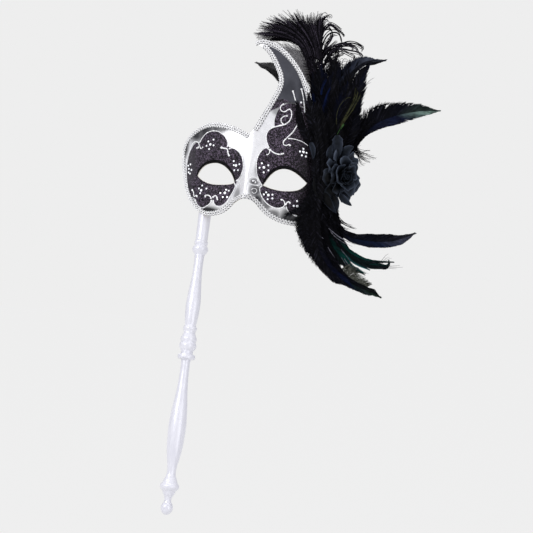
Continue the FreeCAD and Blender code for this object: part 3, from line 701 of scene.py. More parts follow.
# grey that stands for shaded backdrop between the plume and the horn: painted shade
BACKDROP_SHADE_GREY = plumage("grey_painted_backdrop_shade", (0.16, 0.155, 0.165), (0.27, 0.265, 0.28), (0.40, 0.40, 0.41))
FUZZ = plumage("olive_fuzz", (0.012, 0.013, 0.010), (0.050, 0.053, 0.044), (0.14, 0.145, 0.125), rare=2.0)
HERL = plumage("herl_barbs", (0.002, 0.002, 0.0015), (0.009, 0.010, 0.005), (0.065, 0.068, 0.030), rare=1.5)
HERL_BASE = plumage("herl_green_base", (0.008, 0.03, 0.008), (0.03, 0.09, 0.025), (0.12, 0.26, 0.09),
                    rare=2.0)
MINT = plumage("coque_mint_tip", *BLACK, (0.25, 0.50, (0.010, 0.015, 0.046), (0.31, 0.46, 0.40)))
LILAC = plumage("coque_slate_edge", *BLACK, (0.25, 0.6, (0.006, 0.014, 0.050), (0.095, 0.10, 0.15)))
TEAL = plumage("coque_teal", *BLACK, (0.30, 0.55, (0.002, 0.040, 0.034), (0.006, 0.055, 0.050)))
CYAN = plumage("coque_cyan_edge", *BLACK, (0.45, 0.62, (0.003, 0.05, 0.05), (0.035, 0.17, 0.18)))
INDIGO = plumage("coque_indigo", *BLACK, (0.35, 0.7, (0.0012, 0.003, 0.020), (0.002, 0.006, 0.030)))
DEEP_GREEN = plumage("coque_green_tip", *BLACK, (0.3, 0.75, (0.002, 0.006, 0.030), (0.014, 0.034, 0.022)))
# pale strands that are painted highlights along the lower barbs
SHINE = plumage("painted_highlight_strands", (0.02, 0.02, 0.026), (0.07, 0.07, 0.09), (0.26, 0.26, 0.31), rare=1.5)
BLUE = plumage("blue_strands", (0.001, 0.003, 0.018), (0.002, 0.006, 0.035), (0.003, 0.010, 0.045), rare=1.5)


# ---------------------------------------------------------------- carried CAD nodes

def dress(node, mat):
    """Give a CAD node a finished material."""
    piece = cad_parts[node]
    for slot in piece.material_slots:
        slot.material = mat


for node, mat in [("mask_shell", SILVER), ("glitter_panel_left", GLITTER), ("glitter_panel_right", GLITTER),
                  ("horn_panel", HORN), ("felt_backing_patch", FELT), ("feather_disc", FELT),
                  ("stick", PEARL), ("stick_glue_pad", HOT_GLUE), ("rose_calyx", TAPE)]:
    dress(node, mat)


# ---------------------------------------------------------------- braid

def inset(run, offset):
    """A run of (x, z) points moved sideways."""
    moved = []
    last = len(run) - 1
    for i in range(last + 1):
        step = (run[min(i + 1, last)] - run[max(i - 1, 0)]).normalized()
        moved.append(Vector((run[i].x - step.y * offset, run[i].y + step.x * offset)))
    return moved


def braid(name, run, node):
    """Gimp braid: two rows of twisted thread side by side, with small loops along both edges, over a dark
    strip that is painted shade under the threads.
    """
    gathered = Gather()
    middle = inset(smooth(run, 0.45), BRAID_W / 2)
    travelled = [0.0]
    for a, b in zip(middle, middle[1:]):
        travelled.append(travelled[-1] + (b - a).length)
    last = len(middle) - 1
    frames = []
    for i, p in enumerate(middle):
        step = (middle[min(i + 1, last)] - middle[max(i - 1, 0)]).normalized()
        point, out = on_shell(p.x, p.y)
        frames.append((point, out, out.cross(Vector((step.x, 0, step.y))).normalized()))
    ups = [f[1] for f in frames]

    def thread(radius, shape, sides=6):
        path = []
        tones = []
        for i, (point, out, side) in enumerate(frames):
            lateral, lift, tone = shape(travelled[i] / BRAID_TURN)
            path.append(point + side * (lateral * MM) + out * (lift * MM))
            tones.append(tone)
        start = len(gathered.verts)
        gathered.tube(path, [radius * MM] * len(path), sides, ups=ups)
        for n in range(start, len(gathered.verts)):
            gathered.tone[n] = tones[min((n - start) // sides, last)]

    # a dark strip under the threads, painted shade in the gaps between them
    shade_strip = [point + out * (0.06 * MM) for point, out, side in frames]
    gathered.ribbon(shade_strip, [5.0 * MM] * len(shade_strip), [f[2] for f in frames], 0.0)
    # each strand's tone is painted shade where it dips and a painted highlight where it rides high
    for row in (-1, 1):
        for half in (0.0, math.pi):
            def twist(t, row=row, half=half):
                angle = math.pi * t + half + row * 0.8
                high = 0.5 + 0.5 * math.sin(angle)
                return row * 0.98 + 0.52 * math.cos(angle), 0.45 + 0.62 * high, high
            thread(0.54, twist)

        def loops(t, row=row):
            wave = math.sin(2 * math.pi * t + row)
            return row * (1.86 + 0.42 * wave), 0.42 + 0.1 * wave, 0.40 + 0.45 * wave
        thread(0.36, loops, 5)
    return settle(gathered.build(name, THREAD), "mask", "silver_braid", node)


braid("braid_lobe_gimp", LOBE_LEFT[:23], "braid_lobe")
braid("braid_cheek_gimp", LOBE_LEFT[22:], "braid_cheek")
braid("braid_temple_gimp", TEMPLE_RIGHT[:10], "braid_temple")
braid("braid_horn_outer_gimp", TEMPLE_RIGHT[9:], "braid_horn_outer")
braid("braid_horn_inner_gimp", HORN_INNER[1:-1], "braid_horn_inner")


# ---------------------------------------------------------------- scrollwork and stones

def over_shell(line, lift):
    """The points that stand lift over the shell along a run, and the normals there."""
    return zip(*(on_shell(p.x, p.y, lift) for p in line))


def scrollwork():
    """Glitter glue piped on the panels, uneven along its length and fuller at its ends."""
    gathered = Gather()
    chance = Chance(11)
    for run, half in SCROLLS:
        step = 0.55
        line = smooth(run, step)
        path, ups = over_shell(line, PANEL_T + half * 0.25)
        radii = []
        last = len(line) - 1
        for i in range(last + 1):
            near_end = min(i, last - i) * step
            bead = 1.0 + 0.75 * math.exp(-((near_end - 0.5) / 1.2) ** 2)
            radii.append(0.66 * half * bead * (1.0 + 0.34 * chance.sway(1)) * MM)
        radii[0] *= 0.6
        radii[-1] *= 0.6
        gathered.tube(path, radii, 8, ups=ups, flat=0.75)
    return settle(gathered.build("glitter_scrollwork", GLUE_LINE), "mask", "silver_braid")


def eyelids():
    """A smooth raised lid over each eye and the bare edge of the moulding round the opening."""
    lids = Gather()
    edges = Gather()
    for top, low in ((EYE_LEFT_TOP, EYE_LEFT_LOW), (EYE_RIGHT_TOP, EYE_RIGHT_LOW)):
        line = inset(smooth(top, 0.8), 1.5)
        last = len(line) - 1
        path, ups = over_shell(line, PANEL_T)
        radii = [(0.4 + 1.35 * math.sin(math.pi * i / last) ** 0.5) * MM for i in range(last + 1)]
        lids.tube(path, radii, 8, ups=ups, flat=0.35)
        for run in (top, low):
            path, ups = over_shell(smooth(run, 0.8), 0.05)
            edges.tube(path, [0.34 * MM] * len(path), 6, ups=ups)
    settle(lids.build("eyelid_rims", LID), "mask", "black_glitter")
    settle(edges.build("eye_cut_edges", CREAM), "mask", "silver_shell")


def cut_stones():
    """Flat-backed stones with a table and two rows of facets."""
    gathered = Gather()
    sides = 8
    for x, z, *size in STONES:
        radius = (size[0] if size else 1.0) * 1.06
        point, out = on_shell(x, z, PANEL_T)
        side = out.cross(Vector((0, 0, 1))).normalized()
        up = side.cross(out)
        rows = []
        for share, height, turn in ((1.0, 0.0, 0.0), (1.0, 0.18, 0.0), (0.80, 0.52, 0.5), (0.48, 0.80, 0.0)):
            row = []
            for k in range(sides):
                angle = 2 * math.pi * (k + turn) / sides
                spoke = side * math.cos(angle) + up * math.sin(angle)
                row.append(gathered.point(point + (spoke * share + out * height) * (radius * MM)))
            rows.append(row)
        for n, (one, two) in enumerate(zip(rows, rows[1:])):
            for k in range(sides):
                m = (k + 1) % sides
                if n == 0:
                    gathered.faces.append((one[k], one[m], two[m], two[k]))
                elif n == 1:
                    gathered.faces.append((one[k], one[m], two[k]))
                    gathered.faces.append((two[k], one[m], two[m]))
                else:
                    gathered.faces.append((one[k], two[m], two[k]))
                    gathered.faces.append((one[k], one[m], two[m]))
        gathered.faces.append(tuple(rows[-1]))
        gathered.faces.append(tuple(reversed(rows[0])))
    return settle(gathered.build("rhinestones_cut", CRYSTAL, False), "mask", "rhinestone", "rhinestones")


scrollwork()
eyelids()
cut_stones()


# ---------------------------------------------------------------- rose

ROSE_AT = Vector((90.8, 21.8, 12.4))
ROSE_AXIS = Vector((0.80, -0.60, 0)).normalized()
ROSE_SIDE = Vector((0.60, 0.80, 0)).normalized()
ROSE_UP = Vector((0, 0, 1))


def rose_point(r, angle, height):
    """A point of the rose in polar form about its axis."""
    local = ROSE_AT + ROSE_SIDE * (r * math.cos(angle)) + ROSE_UP * (r * math.sin(angle)) + ROSE_AXIS * height
    return at(*local)


def petal(gathered, turn, reach, base, tip, half, curl, ruffle, seed, across=17, up=13):
    """One cupped petal with a pointed, rolled and wavy lip."""
    chance = Chance(seed)
    phase = chance.uniform(0, 6.28)
    waves = chance.choice((1.3, 1.8, 2.3))
    skew = chance.sway(0.10)
    point = chance.sway(0.35)
    rows = []
    for j in range(up):
        v = j / (up - 1)
        row = []
        for i in range(across):
            u = 2 * i / (across - 1) - 1
            edge = reach * (1 + 0.16 * noise.noise(Vector((u * 2.6 + seed, 0.5, seed * 0.7)))
                            - 0.24 * abs(u) ** 2.2 + 0.07 * math.exp(-((u - point) / 0.20) ** 2)
                            + 0.03 * math.sin(waves * u * 4 + phase)
                            - 0.04 * abs(math.sin(waves * u * 5.5 + phase)) ** 3)
            r = 1.4 + (edge - 1.4) * v ** 0.9
            widen = math.sin(min(1.0, 0.25 + 0.9 * v) * math.pi / 2)
            angle = turn + (u * half + skew * v) * widen
            lip = max(0.0, v - 0.72) / 0.28
            height = base + (tip - base) * v ** 1.35 + 1.3 * u * v
            height += 0.12 * reach * u * u * v * (1 - 0.6 * v)
            height -= curl * lip ** 1.6 * (1 + 0.5 * math.sin(2.6 * u + phase))
            height += ruffle * v ** 3 * math.sin(waves * math.pi * u + phase)
            height += 2.4 * v * (abs(noise.noise(Vector((u * 2.3 + seed, v * 1.2, 3.1)))) - 0.2)
            height += 0.8 * v * noise.noise(Vector((u * 1.6 + seed, v * 1.8, seed * 0.37)))
            r += 0.6 * v * noise.noise(Vector((u * 2.1, v * 2.0 + seed, 5.0)))
            rim = max(v ** 4.0, abs(u) ** 8 * v)
            row.append(gathered.point(rose_point(r, angle, height), 0.5, v, rim))
        rows.append(row)
    gathered.sheet(rows)


def cloth_piece(gathered, name, mat, slot, nodes, thickness=0.35):
    """Thicken and smooth a sheet of petals, then ride it on the mask."""
    piece = gathered.build(name, mat)
    skin = piece.modifiers.new("thickness", "SOLIDIFY")
    skin.thickness = thickness * MM
    skin.offset = 0
    rounder = piece.modifiers.new("smooth", "SUBSURF")
    rounder.levels = 1
    rounder.render_levels = 1
    return settle(piece, "mask", slot, *nodes)


def rose():
    """Petals laid one by one round a tight heart; the inner petals and the heart take a darker copy of the
    cloth as painted shade.
    """
    rings = [
        ("rose_outer_petals_cloth", ("rose_outer_petals",), 4.5, 1.6,
         [(64, 28, -6, 5, 0.50), (-20, 27, -6, 6, 0.66), (-70, 26, -6, 4, 0.55), (-118, 24, -6, 0, 0.55),
          (190, 22, -6, -1, 0.62), (148, 24, -6.5, 0, 0.5), (108, 28, -7, 1, 0.40)]),
        ("rose_guard_petals_cloth", (), 3.8, 1.4,
         [(30, 20.5, -5, 9, 0.74), (-48, 20.5, -5, 8, 0.74), (-112, 19, -5, 4, 0.66), (168, 18, -5, 3, 0.80),
          (86, 20, -5, 7, 0.66)]),
        ("rose_middle_petals_cloth", ("rose_middle_petals",), 3.2, 1.0,
         [(172, 15.0, -4.5, 7.5, 1.30), (38, 14.5, -4.5, 10.5, 0.95), (-62, 14.5, -4.5, 9, 1.05)]),
        ("rose_inner_petals_cloth", ("rose_inner_petals",), 2.4, 0.8,
         [(105, 9.6, -4, 9.5, 1.15), (-25, 9.6, -4, 10.5, 1.15), (225, 9.4, -4, 9.0, 1.15)]),
    ]
    for number, (name, nodes, curl, ruffle, petals) in enumerate(rings):
        gathered = Gather()
        for k, (turn, reach, base, tip, half) in enumerate(petals):
            petal(gathered, math.radians(turn), reach, base, tip, half, curl, ruffle, 100 * number + k)
        # the innermost ring takes the darker cloth as painted shade
        cloth_piece(gathered, name, ROSE if number < 3 else SHADED_HEART_ROSE, "rose_fabric", nodes)
    heart = Gather()
    for k in range(3):
        petal(heart, 0.6 + 2.1 * k, 6.4, -3.5, 8.5, 1.25, 1.2, 0.6, 500 + k)
    rows = []
    turns, across, up = 2.1, 44, 9
    for j in range(up):
        v = j / (up - 1)
        row = []
        for i in range(across):
            u = i / (across - 1)
            angle = 2 * math.pi * turns * u
            r = (0.4 + 2.9 * u) * (0.78 + 0.4 * math.sin(v * 2.6)) + 0.25 * math.sin(5 * angle)
            row.append(heart.point(rose_point(r, angle, -2 + 10.5 * v - 1.6 * u), 0.5, v, v ** 4))
        rows.append(row)
    heart.sheet(rows)
    cloth_piece(heart, "rose_heart_cloth", SHADED_HEART_ROSE, "rose_fabric", ("rose_bud",))


def leaf(gathered, spine, width, seed, teeth=7, blunt=False):
    """A cloth leaf with a toothed edge and a pressed midrib."""
    chance = Chance(seed)
    line = smooth(spine, 0.8)
    last = len(line) - 1
    rows = []
    for i, p in enumerate(line):
        t = i / last
        along = (line[min(i + 1, last)] - line[max(i - 1, 0)]).normalized()
        side = along.cross(FRONT).normalized()
        half = width / 2 * math.sin(math.pi * min(1.0, 0.10 + 0.90 * t ** 0.75)) ** 0.7
        if blunt:
            half = width / 2 * min(1.0, 0.45 + 1.6 * t) * min(1.0, 0.45 + 3.2 * (1 - t))
        half *= 1.0 + 0.14 * (1 - ((t * teeth) % 1.0))
        row = []
        for k in range(-3, 4):
            u = k / 3
            bow = 0.20 * width * u * u - 0.5 * math.exp(-(u / 0.2) ** 2)
            co = p + side * (half * u) + FRONT * (-bow) + Vector((0, chance.sway(0.2), 0))
            row.append(gathered.point(at(*co), 0.5, t, abs(u) ** 2))
        rows.append(row)
    gathered.sheet(rows)


def leaves():
    """Leaves above and below the bloom, and pointed sepals behind it."""
    top = Gather()
    leaf(top, [(83, 19, 30), (83.5, 15.5, 37), (84, 14, 44), (83, 13.5, 52.5)], 10, 3, 5, True)
    leaf(top, [(80, 19, 24), (77.5, 15, 31), (77, 13.5, 37), (79, 13, 43)], 8, 4)
    leaf(top, [(89, 22, 32), (92, 18, 37), (96, 15.5, 40.5), (100.5, 14.5, 42)], 9.5, 8)
    cloth_piece(top, "rose_leaf_top_cloth", LEAF, "rose_leaf", ("rose_leaf_top",), 0.4)
    low = Gather()
    leaf(low, [(74, 14, -3), (77, 12, -11), (82, 11, -18), (88.5, 11, -25.5)], 8, 5)
    leaf(low, [(84, 15, -8), (87, 13, -13), (88.5, 12.5, -18), (89, 12.5, -23)], 6, 9)
    leaf(low, [(90, 18, -6), (94, 15, -10.5), (98, 14, -13.5), (103, 14, -17)], 6.5, 6)
    leaf(low, [(64, 11.5, 8.5), (64.3, 10.5, 0), (66.6, 10, -7), (72.4, 10, -14.5)], 2.6, 7)
    leaf(low, [(56.8, 12.5, 43.5), (59.6, 10.5, 38.5), (61, 10, 33), (61.2, 10, 26.5)], 5.2, 10, 3)
    cloth_piece(low, "rose_leaf_bottom_cloth", LEAF, "rose_leaf", ("rose_leaf_bottom",), 0.4)


rose()
leaves()


# ---------------------------------------------------------------- feathers

# Barbs shorter than this are left out; each one's end is found in so many halvings.
LEAST_BARB = 0.12
HALVINGS = 7


def barb_path(start, along, side, face, length, angle, bend, droop, steps, chance, wild):
    """The curve of one barb: it leaves the shaft at angle and bends towards the tip."""
    path = [start]
    place = start
    wobble = chance.sway(1) * wild
    for i in range(steps):
        share = (i + 1) / steps
        turn = angle - bend * share + wobble * share * share
        way = along * math.cos(turn) + side * math.sin(turn) + face * (droop * share * share)
        way += Vector([chance.sway(1) for _ in range(3)]) * (wild * 0.12)
        place = place + way.normalized() * (length / steps)
        path.append(place)
    return path


def vane(gathered, spine, widths, style, seed, shaft=(0.9, 0.25)):
    """One feather: a tapered shaft with barbs on both sides.

    widths holds (position, left half width, right half width) stops from root to tip. Each barb's end
    is searched along the shaft, so that the barbs' ends and not their roots follow the widths."""
    chance = Chance(seed)
    spacing = style["spacing"]
    line = smooth(spine, spacing)
    last = len(line) - 1
    fine = [at(*p) for p in line]
    radii = [(shaft[0] + (shaft[1] - shaft[0]) * i / last) * 0.5 * MM for i in range(last + 1)]
    stride = max(1, int(2.0 / spacing))
    gathered.tube(fine[::stride], radii[::stride], 5, tone=0.3)
    steps = style["steps"]
    reach = last * spacing
    face0 = Vector(style["face"]).normalized()
    columns = [(sign, [(stop[0], stop[column]) for stop in widths]) for sign, column in ((-1, 1), (1, 2))]
    split = {-1: 1.0, 1: 1.0}
    for i in range(last + 1):
        t = i / last
        along = (line[min(i + 1, last)] - line[max(i - 1, 0)]).normalized()
        side0 = along.cross(face0).normalized()
        face = side0.cross(along).normalized()
        down = max(0.0, 1.0 - t / style["down"]) if style["down"] > 0 else 0.0
        for sign, outline in columns:
            mean = max(0.16, math.radians(ramp(t, style["angles"])) - style["bend"] * 0.5)
            low, high = t, 1.0
            for _ in range(HALVINGS):
                end = (low + high) * 0.5
                half = ramp(end, outline)
                if (end - t) * reach * math.tan(mean) < half:
                    low = end
                else:
                    high = end
            if half < LEAST_BARB:
                continue
            if chance.random() < style["split"]:
                split[sign] = chance.uniform(0.78, 0.95)
            split[sign] = min(1.0, split[sign] + 0.025)
            mean = min(mean, math.atan2(half, max(0.5, (end - t) * reach)))
            bend = min(style["bend"], mean * 1.2)
            length = half / math.sin(mean) * split[sign]
            length *= 1 + chance.sway(1) * style["ragged"] + 0.3 * down
            wild = style["wild"] + 0.5 * down
            droop = style["droop"] - 0.3 * down * chance.random() + chance.sway(1) * style["fan"]
            path = barb_path(line[i], along, side0 * sign, face, length, mean + bend * 0.5, bend, droop,
                             steps, chance, wild)
            tone = 0.25 + 0.5 * (sign * style["lit"] > 0) + chance.sway(0.1)
            across = []
            sizes = []
            for k in range(steps + 1):
                here = path[min(k + 1, steps)] - path[max(k - 1, 0)]
                flat = here.normalized().cross(face)
                if flat.length < 1e-4:
                    flat = along
                across.append((flat.normalized() + face * (style["tilt"] * sign)).normalized())
                taper = 1.0 if k < steps - 1 else 0.65 if k == steps - 1 else 0.15
                sizes.append(style["width"] * (1 - 0.6 * down) * taper * MM)
            gathered.ribbon([at(*p) for p in path], sizes, across, tone, t)
            if style["barbules"]:
                barbules(gathered, path, face, style["barbules"], chance, tone, t)


def barbules(gathered, path, face, sizes, chance, tone, t):
    """The soft side hairs of a downy barb."""
    reach, step = sizes
    for a, b in zip(path, path[1:]):
        span = (b - a).length
        way = (b - a).normalized()
        side = way.cross(face).normalized()
        count = max(1, int(span / step))
        for k in range(count):
            base = a.lerp(b, (k + chance.random()) / count)
            for sign in (-1, 1):
                off = (side * sign + way * 0.9 + face * chance.sway(0.5)).normalized()
                end = base + off * (reach * chance.uniform(0.5, 1.1))
                one = gathered.point(at(*(base - way * 0.1)), tone, t, 0.4)
                two = gathered.point(at(*(base + way * 0.1)), tone, t, 0.4)
                three = gathered.point(at(*end), tone, t, 1.0)
                gathered.faces.append((one, two, three))


def flue(gathered, start, lead, tail, end, width, chance, hair=(1.1, 0.5), curl=0.0, stop=1.0):
    """One long soft barb from start to end, leaving towards lead and arriving from tail.

    stop ends it early, as a share of the way; curl winds up its end."""
    a, b, c, d = Vector(start), Vector(start) + Vector(lead), Vector(end) - Vector(tail), Vector(end)
    steps, curl_steps = 12, 7
    path = []
    for i in range(steps + 1):
        t = stop * i / steps
        path.append(a * (1 - t) ** 3 + b * (3 * t * (1 - t) ** 2) + c * (3 * t * t * (1 - t)) + d * t ** 3)
    if curl:
        place = path[-1]
        way = (place - path[-2]).normalized()
        size = 1.6
        for i in range(curl_steps):
            turn = curl * (0.35 + 0.06 * i)
            way = Vector((way.x * math.cos(turn) + way.z * math.sin(turn), way.y * 0.9,
                          way.z * math.cos(turn) - way.x * math.sin(turn))).normalized()
            place = place + way * size
            path.append(place)
            size *= 0.92
    strand(gathered, path, width, chance, hair)


def strand(gathered, path, width, chance, hair, tone=None, keep=0.25):
    """A soft barb along a path, with its side hairs."""
    last = len(path) - 1
    tone = chance.uniform(0.05, 0.45) if tone is None else tone
    face = FRONT
    across = []
    for k in range(last + 1):
        here = (path[min(k + 1, last)] - path[max(k - 1, 0)]).normalized()
        flat = here.cross(face)
        if flat.length < 1e-4:
            flat = Vector((1, 0, 0))
        across.append((flat.normalized() + face * chance.sway(0.4)).normalized())
    sizes = [width * (1 - (1 - keep) * (k / last) ** 2) * MM for k in range(last + 1)]
    gathered.ribbon([at(*p) for p in path], sizes, across, tone, 0.5)
    if hair:
        barbules(gathered, path, face, hair, chance, tone, 0.5)


def curve3(run, y, chance, wander):
    """A smooth run of (x, z) points at a depth, shifted a little at random."""
    off = [chance.sway(1) * wander for _ in range(4)]
    last = len(run) - 1
    return smooth([(x + off[0] + off[2] * i / last, y + off[1] * 2, z + off[3] * i / last)
                   for i, (x, z) in enumerate(run)], 1.6)


PLAIN = {"spacing": 0.5, "steps": 7, "width": 0.95, "angles": [(0, 55), (0.55, 42), (1, 22)], "bend": 0.3,
         "droop": -0.10, "wild": 0.05, "down": 0.2, "split": 0.03, "ragged": 0.05, "tilt": 0.35, "lit": 1,
         "face": (0, -1, 0), "barbules": None, "fan": 0.45}
SOFT = dict(PLAIN, spacing=0.45, steps=6, width=0.55, angles=[(0, 62), (0.5, 48), (1, 24)], bend=0.1,
            droop=0.1, wild=0.30, down=0.0, split=0.0, ragged=0.25, tilt=0.2, fan=0.7)
DOWNY = dict(SOFT, angles=[(0, 75), (0.6, 60), (1, 35)], wild=0.45, ragged=0.35, width=0.34,
             barbules=(0.9, 0.6))


GOOSE = ("upper_plumes", "goose_black")
COQUE = ("lower_plumes", "coque_black")


def feather(kind, name, mat, spine, widths, seed, *nodes, **changes):
    """One feather as a piece of its own, on the body of its kind."""
    gathered = Gather()
    vane(gathered, spine, widths, dict(PLAIN, **changes), seed, (1.2, 0.3))
    settle(gathered.build(name, mat), *kind, *nodes)


def even(*halves):
    """Equal half widths on both sides, as (position, half width) pairs."""
    return [(t, h, h) for t, h in halves]


def along_run(run, share):
    """The point a share of the way through a run, by its count of points."""
    spot = share * (len(run) - 1)
    i = min(int(spot), len(run) - 2)
    return Vector(run[i]).lerp(Vector(run[i + 1]), spot - i)


def ostrich():
    """The two ostrich plumes: a dense one that sweeps left over the horn and a loose curly one.

    Barbs leave roots towards leads and reach ends along tails, four lists read at the same share."""
    left = Gather()
    chance = Chance(21)
    vane(left, [(62, 45, 38), (57, 46.5, 90), (52, 47, 122), (46, 46.5, 140)],
         even((0, 0), (0.25, 3), (0.6, 9), (1, 7)), SOFT, 20, (1.8, 0.8))
    roots = [(42, 135), (44, 138), (46, 139), (48, 139), (51, 138), (54, 136), (58, 133), (58, 132)]
    ends = [(-10, 157.5), (-13, 159), (-9, 163.5), (-7, 168), (-3, 172), (3, 175), (9, 178), (15.5, 179.5),
            (22, 181), (28, 181), (35, 180), (41, 181), (46, 180.5), (51, 180), (56, 178.5), (60, 176.5)]
    leads = [(-6, 28), (-8, 24), (-7, 22), (-5, 21), (-3, 22), (-2, 22), (-3, 22)]
    tails = [(-24, -1), (-22, 1), (-20, 5), (-16, 9), (-11, 12), (-5, 14), (1, 14), (4, 12), (9, 3)]
    for _ in range(680):
        share = chance.random() ** 1.15
        root = along_run(roots, min(1, max(0, share + chance.sway(0.12))))
        end = along_run(ends, share)
        short = 1.0 - 0.40 * chance.random() ** 2.6
        flat = share < 0.03
        end += Vector((chance.uniform(0, 26) if flat else 0, 0))
        lead = along_run(leads, share) * chance.uniform(0.85, 1.15)
        tail = along_run(tails, share) * chance.uniform(0.8, 1.1)
        deep = chance.sway(15)
        jitter = Vector((chance.sway(1), chance.sway(1))) * (0.3 if flat else 3.5)
        flue(left, (root.x, 46.5 + deep * 0.25, root.y), (lead.x, deep * 0.3, lead.y),
             (tail.x, deep * 0.3, tail.y), (end.x + jitter.x, 46.5 + deep, end.y + jitter.y),
             chance.uniform(0.55, 0.95), chance, (1.35, 0.5),
             chance.choice((0, 0, 0.7)) if share > 0.8 and short > 0.97 else 0.0, short)
    for _ in range(90):
        share = chance.random()
        run = curve3([(45, 124), (41.5, 134), (37, 142.5), (32, 150), (26, 156.5), (14, 157.4), (-8, 157.6)],
                     46.5 + chance.sway(5), chance, 0.5)
        first = int(len(run) * share * 0.6)
        run = [p + Vector((1.5, 0, 1.5)) * chance.random() for p in run[first:first + 14]]
        strand(left, run, chance.uniform(0.6, 1.0), chance, (1.2, 0.5))
    for _ in range(110):
        share = chance.random()
        root = Vector((56 - 12 * share, 104 + 36 * share))
        reach = chance.uniform(4, 12)
        flue(left, (root.x, 46.5, root.y), (-3, 0, 5), (-reach * 0.4, 0, -chance.uniform(0, 3)),
             (root.x - reach, 46.5 + chance.sway(3), root.y + chance.uniform(4, 9)),
             chance.uniform(0.4, 0.6), chance)
    settle(left.build("ostrich_plume_left_barbs", OSTRICH), "upper_plumes", "ostrich_black",
           "ostrich_plume_left")
    # grey barbs between the plume and the horn, painted shade of the backdrop
    shade_fill = Gather()
    chance = Chance(24)
    for _ in range(520):
        share = chance.random()
        root = Vector((58 - 14 * share, 96 + 44 * share))
        reach = 6 + 46 * chance.random() ** 1.2
        top = 155.5 - chance.random() ** 0.7 * (12 + 0.55 * (46 - reach))
        end = Vector((max(root.x - reach, -6 + (156 - top) * 1.2), top))
        flue(shade_fill, (root.x, 49, root.y), (-6, 0, 8), (-5, 0, 1), (end.x, 50 + chance.uniform(-2, 8), end.y),
             chance.uniform(0.2, 0.42), chance, (1.3, 0.9))
    settle(shade_fill.build("ostrich_painted_shade_barbs", BACKDROP_SHADE_GREY), "upper_plumes", "ostrich_black")
    right = Gather()
    chance = Chance(22)
    vane(right, [(80, 53, 38), (75, 54, 90), (70, 54.5, 118), (69, 55, 131)],
         even((0, 0), (0.25, 3), (0.7, 7), (1, 4)), SOFT, 22, (1.8, 0.7))
    curls = [[(55, 130), (54.2, 148), (54, 160), (55, 167.5), (58.5, 171.2), (62.7, 171.3), (65.6, 167.6),
              (65, 162.3), (61.6, 158), (57.8, 153.6)],
             [(54, 132), (53.8, 150), (54, 161), (55.5, 168.4), (59.3, 174.8), (63.3, 177.8), (68, 176.2),
              (74.5, 171.5)],
             [(55, 150), (55.5, 164), (59.5, 171), (65, 173.5), (70.3, 169.5), (75.8, 166.3), (79.5, 162.5)],
             [(56, 134), (56.6, 142), (60.4, 147.4), (65.3, 151.7), (68.3, 154.5), (71.2, 157.2)],
             [(57, 132), (57.8, 140), (62.5, 147.4), (68.6, 150.6), (76.8, 152.6), (84.1, 153.3),
              (88.6, 151.6), (87.8, 149)],
             [(60, 134), (64.8, 145.4), (71.8, 150.8), (77.7, 154.7), (83.9, 156.8), (90.2, 156.3),
              (95.6, 153.7), (98.9, 151.2), (97, 149.5)],
             [(58, 130), (61.3, 135.8), (67.4, 138.8), (71.4, 141.9), (75.4, 144.1), (79, 145.8)],
             [(64, 140), (68, 147), (72.9, 149.3), (79.3, 147.4), (85.9, 144.5), (90.8, 142), (91.2, 138.5)],
             [(66, 144), (72, 148.5), (78.2, 149.3), (85.6, 147.9), (93, 146.8), (97.3, 144.8), (99.6, 142)],
             [(56, 148), (61.7, 144.2), (66.1, 141.2), (69.1, 143.4), (70, 138.1)],
             [(60, 136), (63, 142), (66, 147), (71, 149), (74, 146), (72, 143)],
             [(58, 140), (60, 150), (64, 158), (66, 163), (70, 164)],
             [(54, 144), (57, 158), (62, 166), (69, 168), (74, 164), (76, 158)],
             [(58, 138), (66, 150), (76, 155), (86, 154), (93, 150), (95, 146)]]
    for run in curls:
        for _ in range(5):
            strand(right, curve3(run, 54 + chance.sway(7), chance, 0.8), chance.uniform(0.85, 1.25), chance,
                   (1.0, 0.6), keep=0.5)
    for _ in range(90):
        root = Vector((chance.uniform(58, 80), chance.uniform(112, 126)))
        reach = chance.uniform(7, 17)
        way = chance.uniform(0.9, 1.9)
        flue(right, (root.x, 54, root.y), (1, 0, reach * 0.5),
             (math.cos(way) * reach * 0.4, 0, math.sin(way) * reach * 0.3),
             (root.x + math.cos(way) * reach * 0.8, 54 + chance.sway(3), root.y + math.sin(way) * reach),
             chance.uniform(0.4, 0.8), chance, (1.0, 0.6), chance.choice((0, 0.8, 1.1)))
    settle(right.build("ostrich_plume_right_barbs", OSTRICH), "upper_plumes", "ostrich_black",
           "ostrich_plume_right")


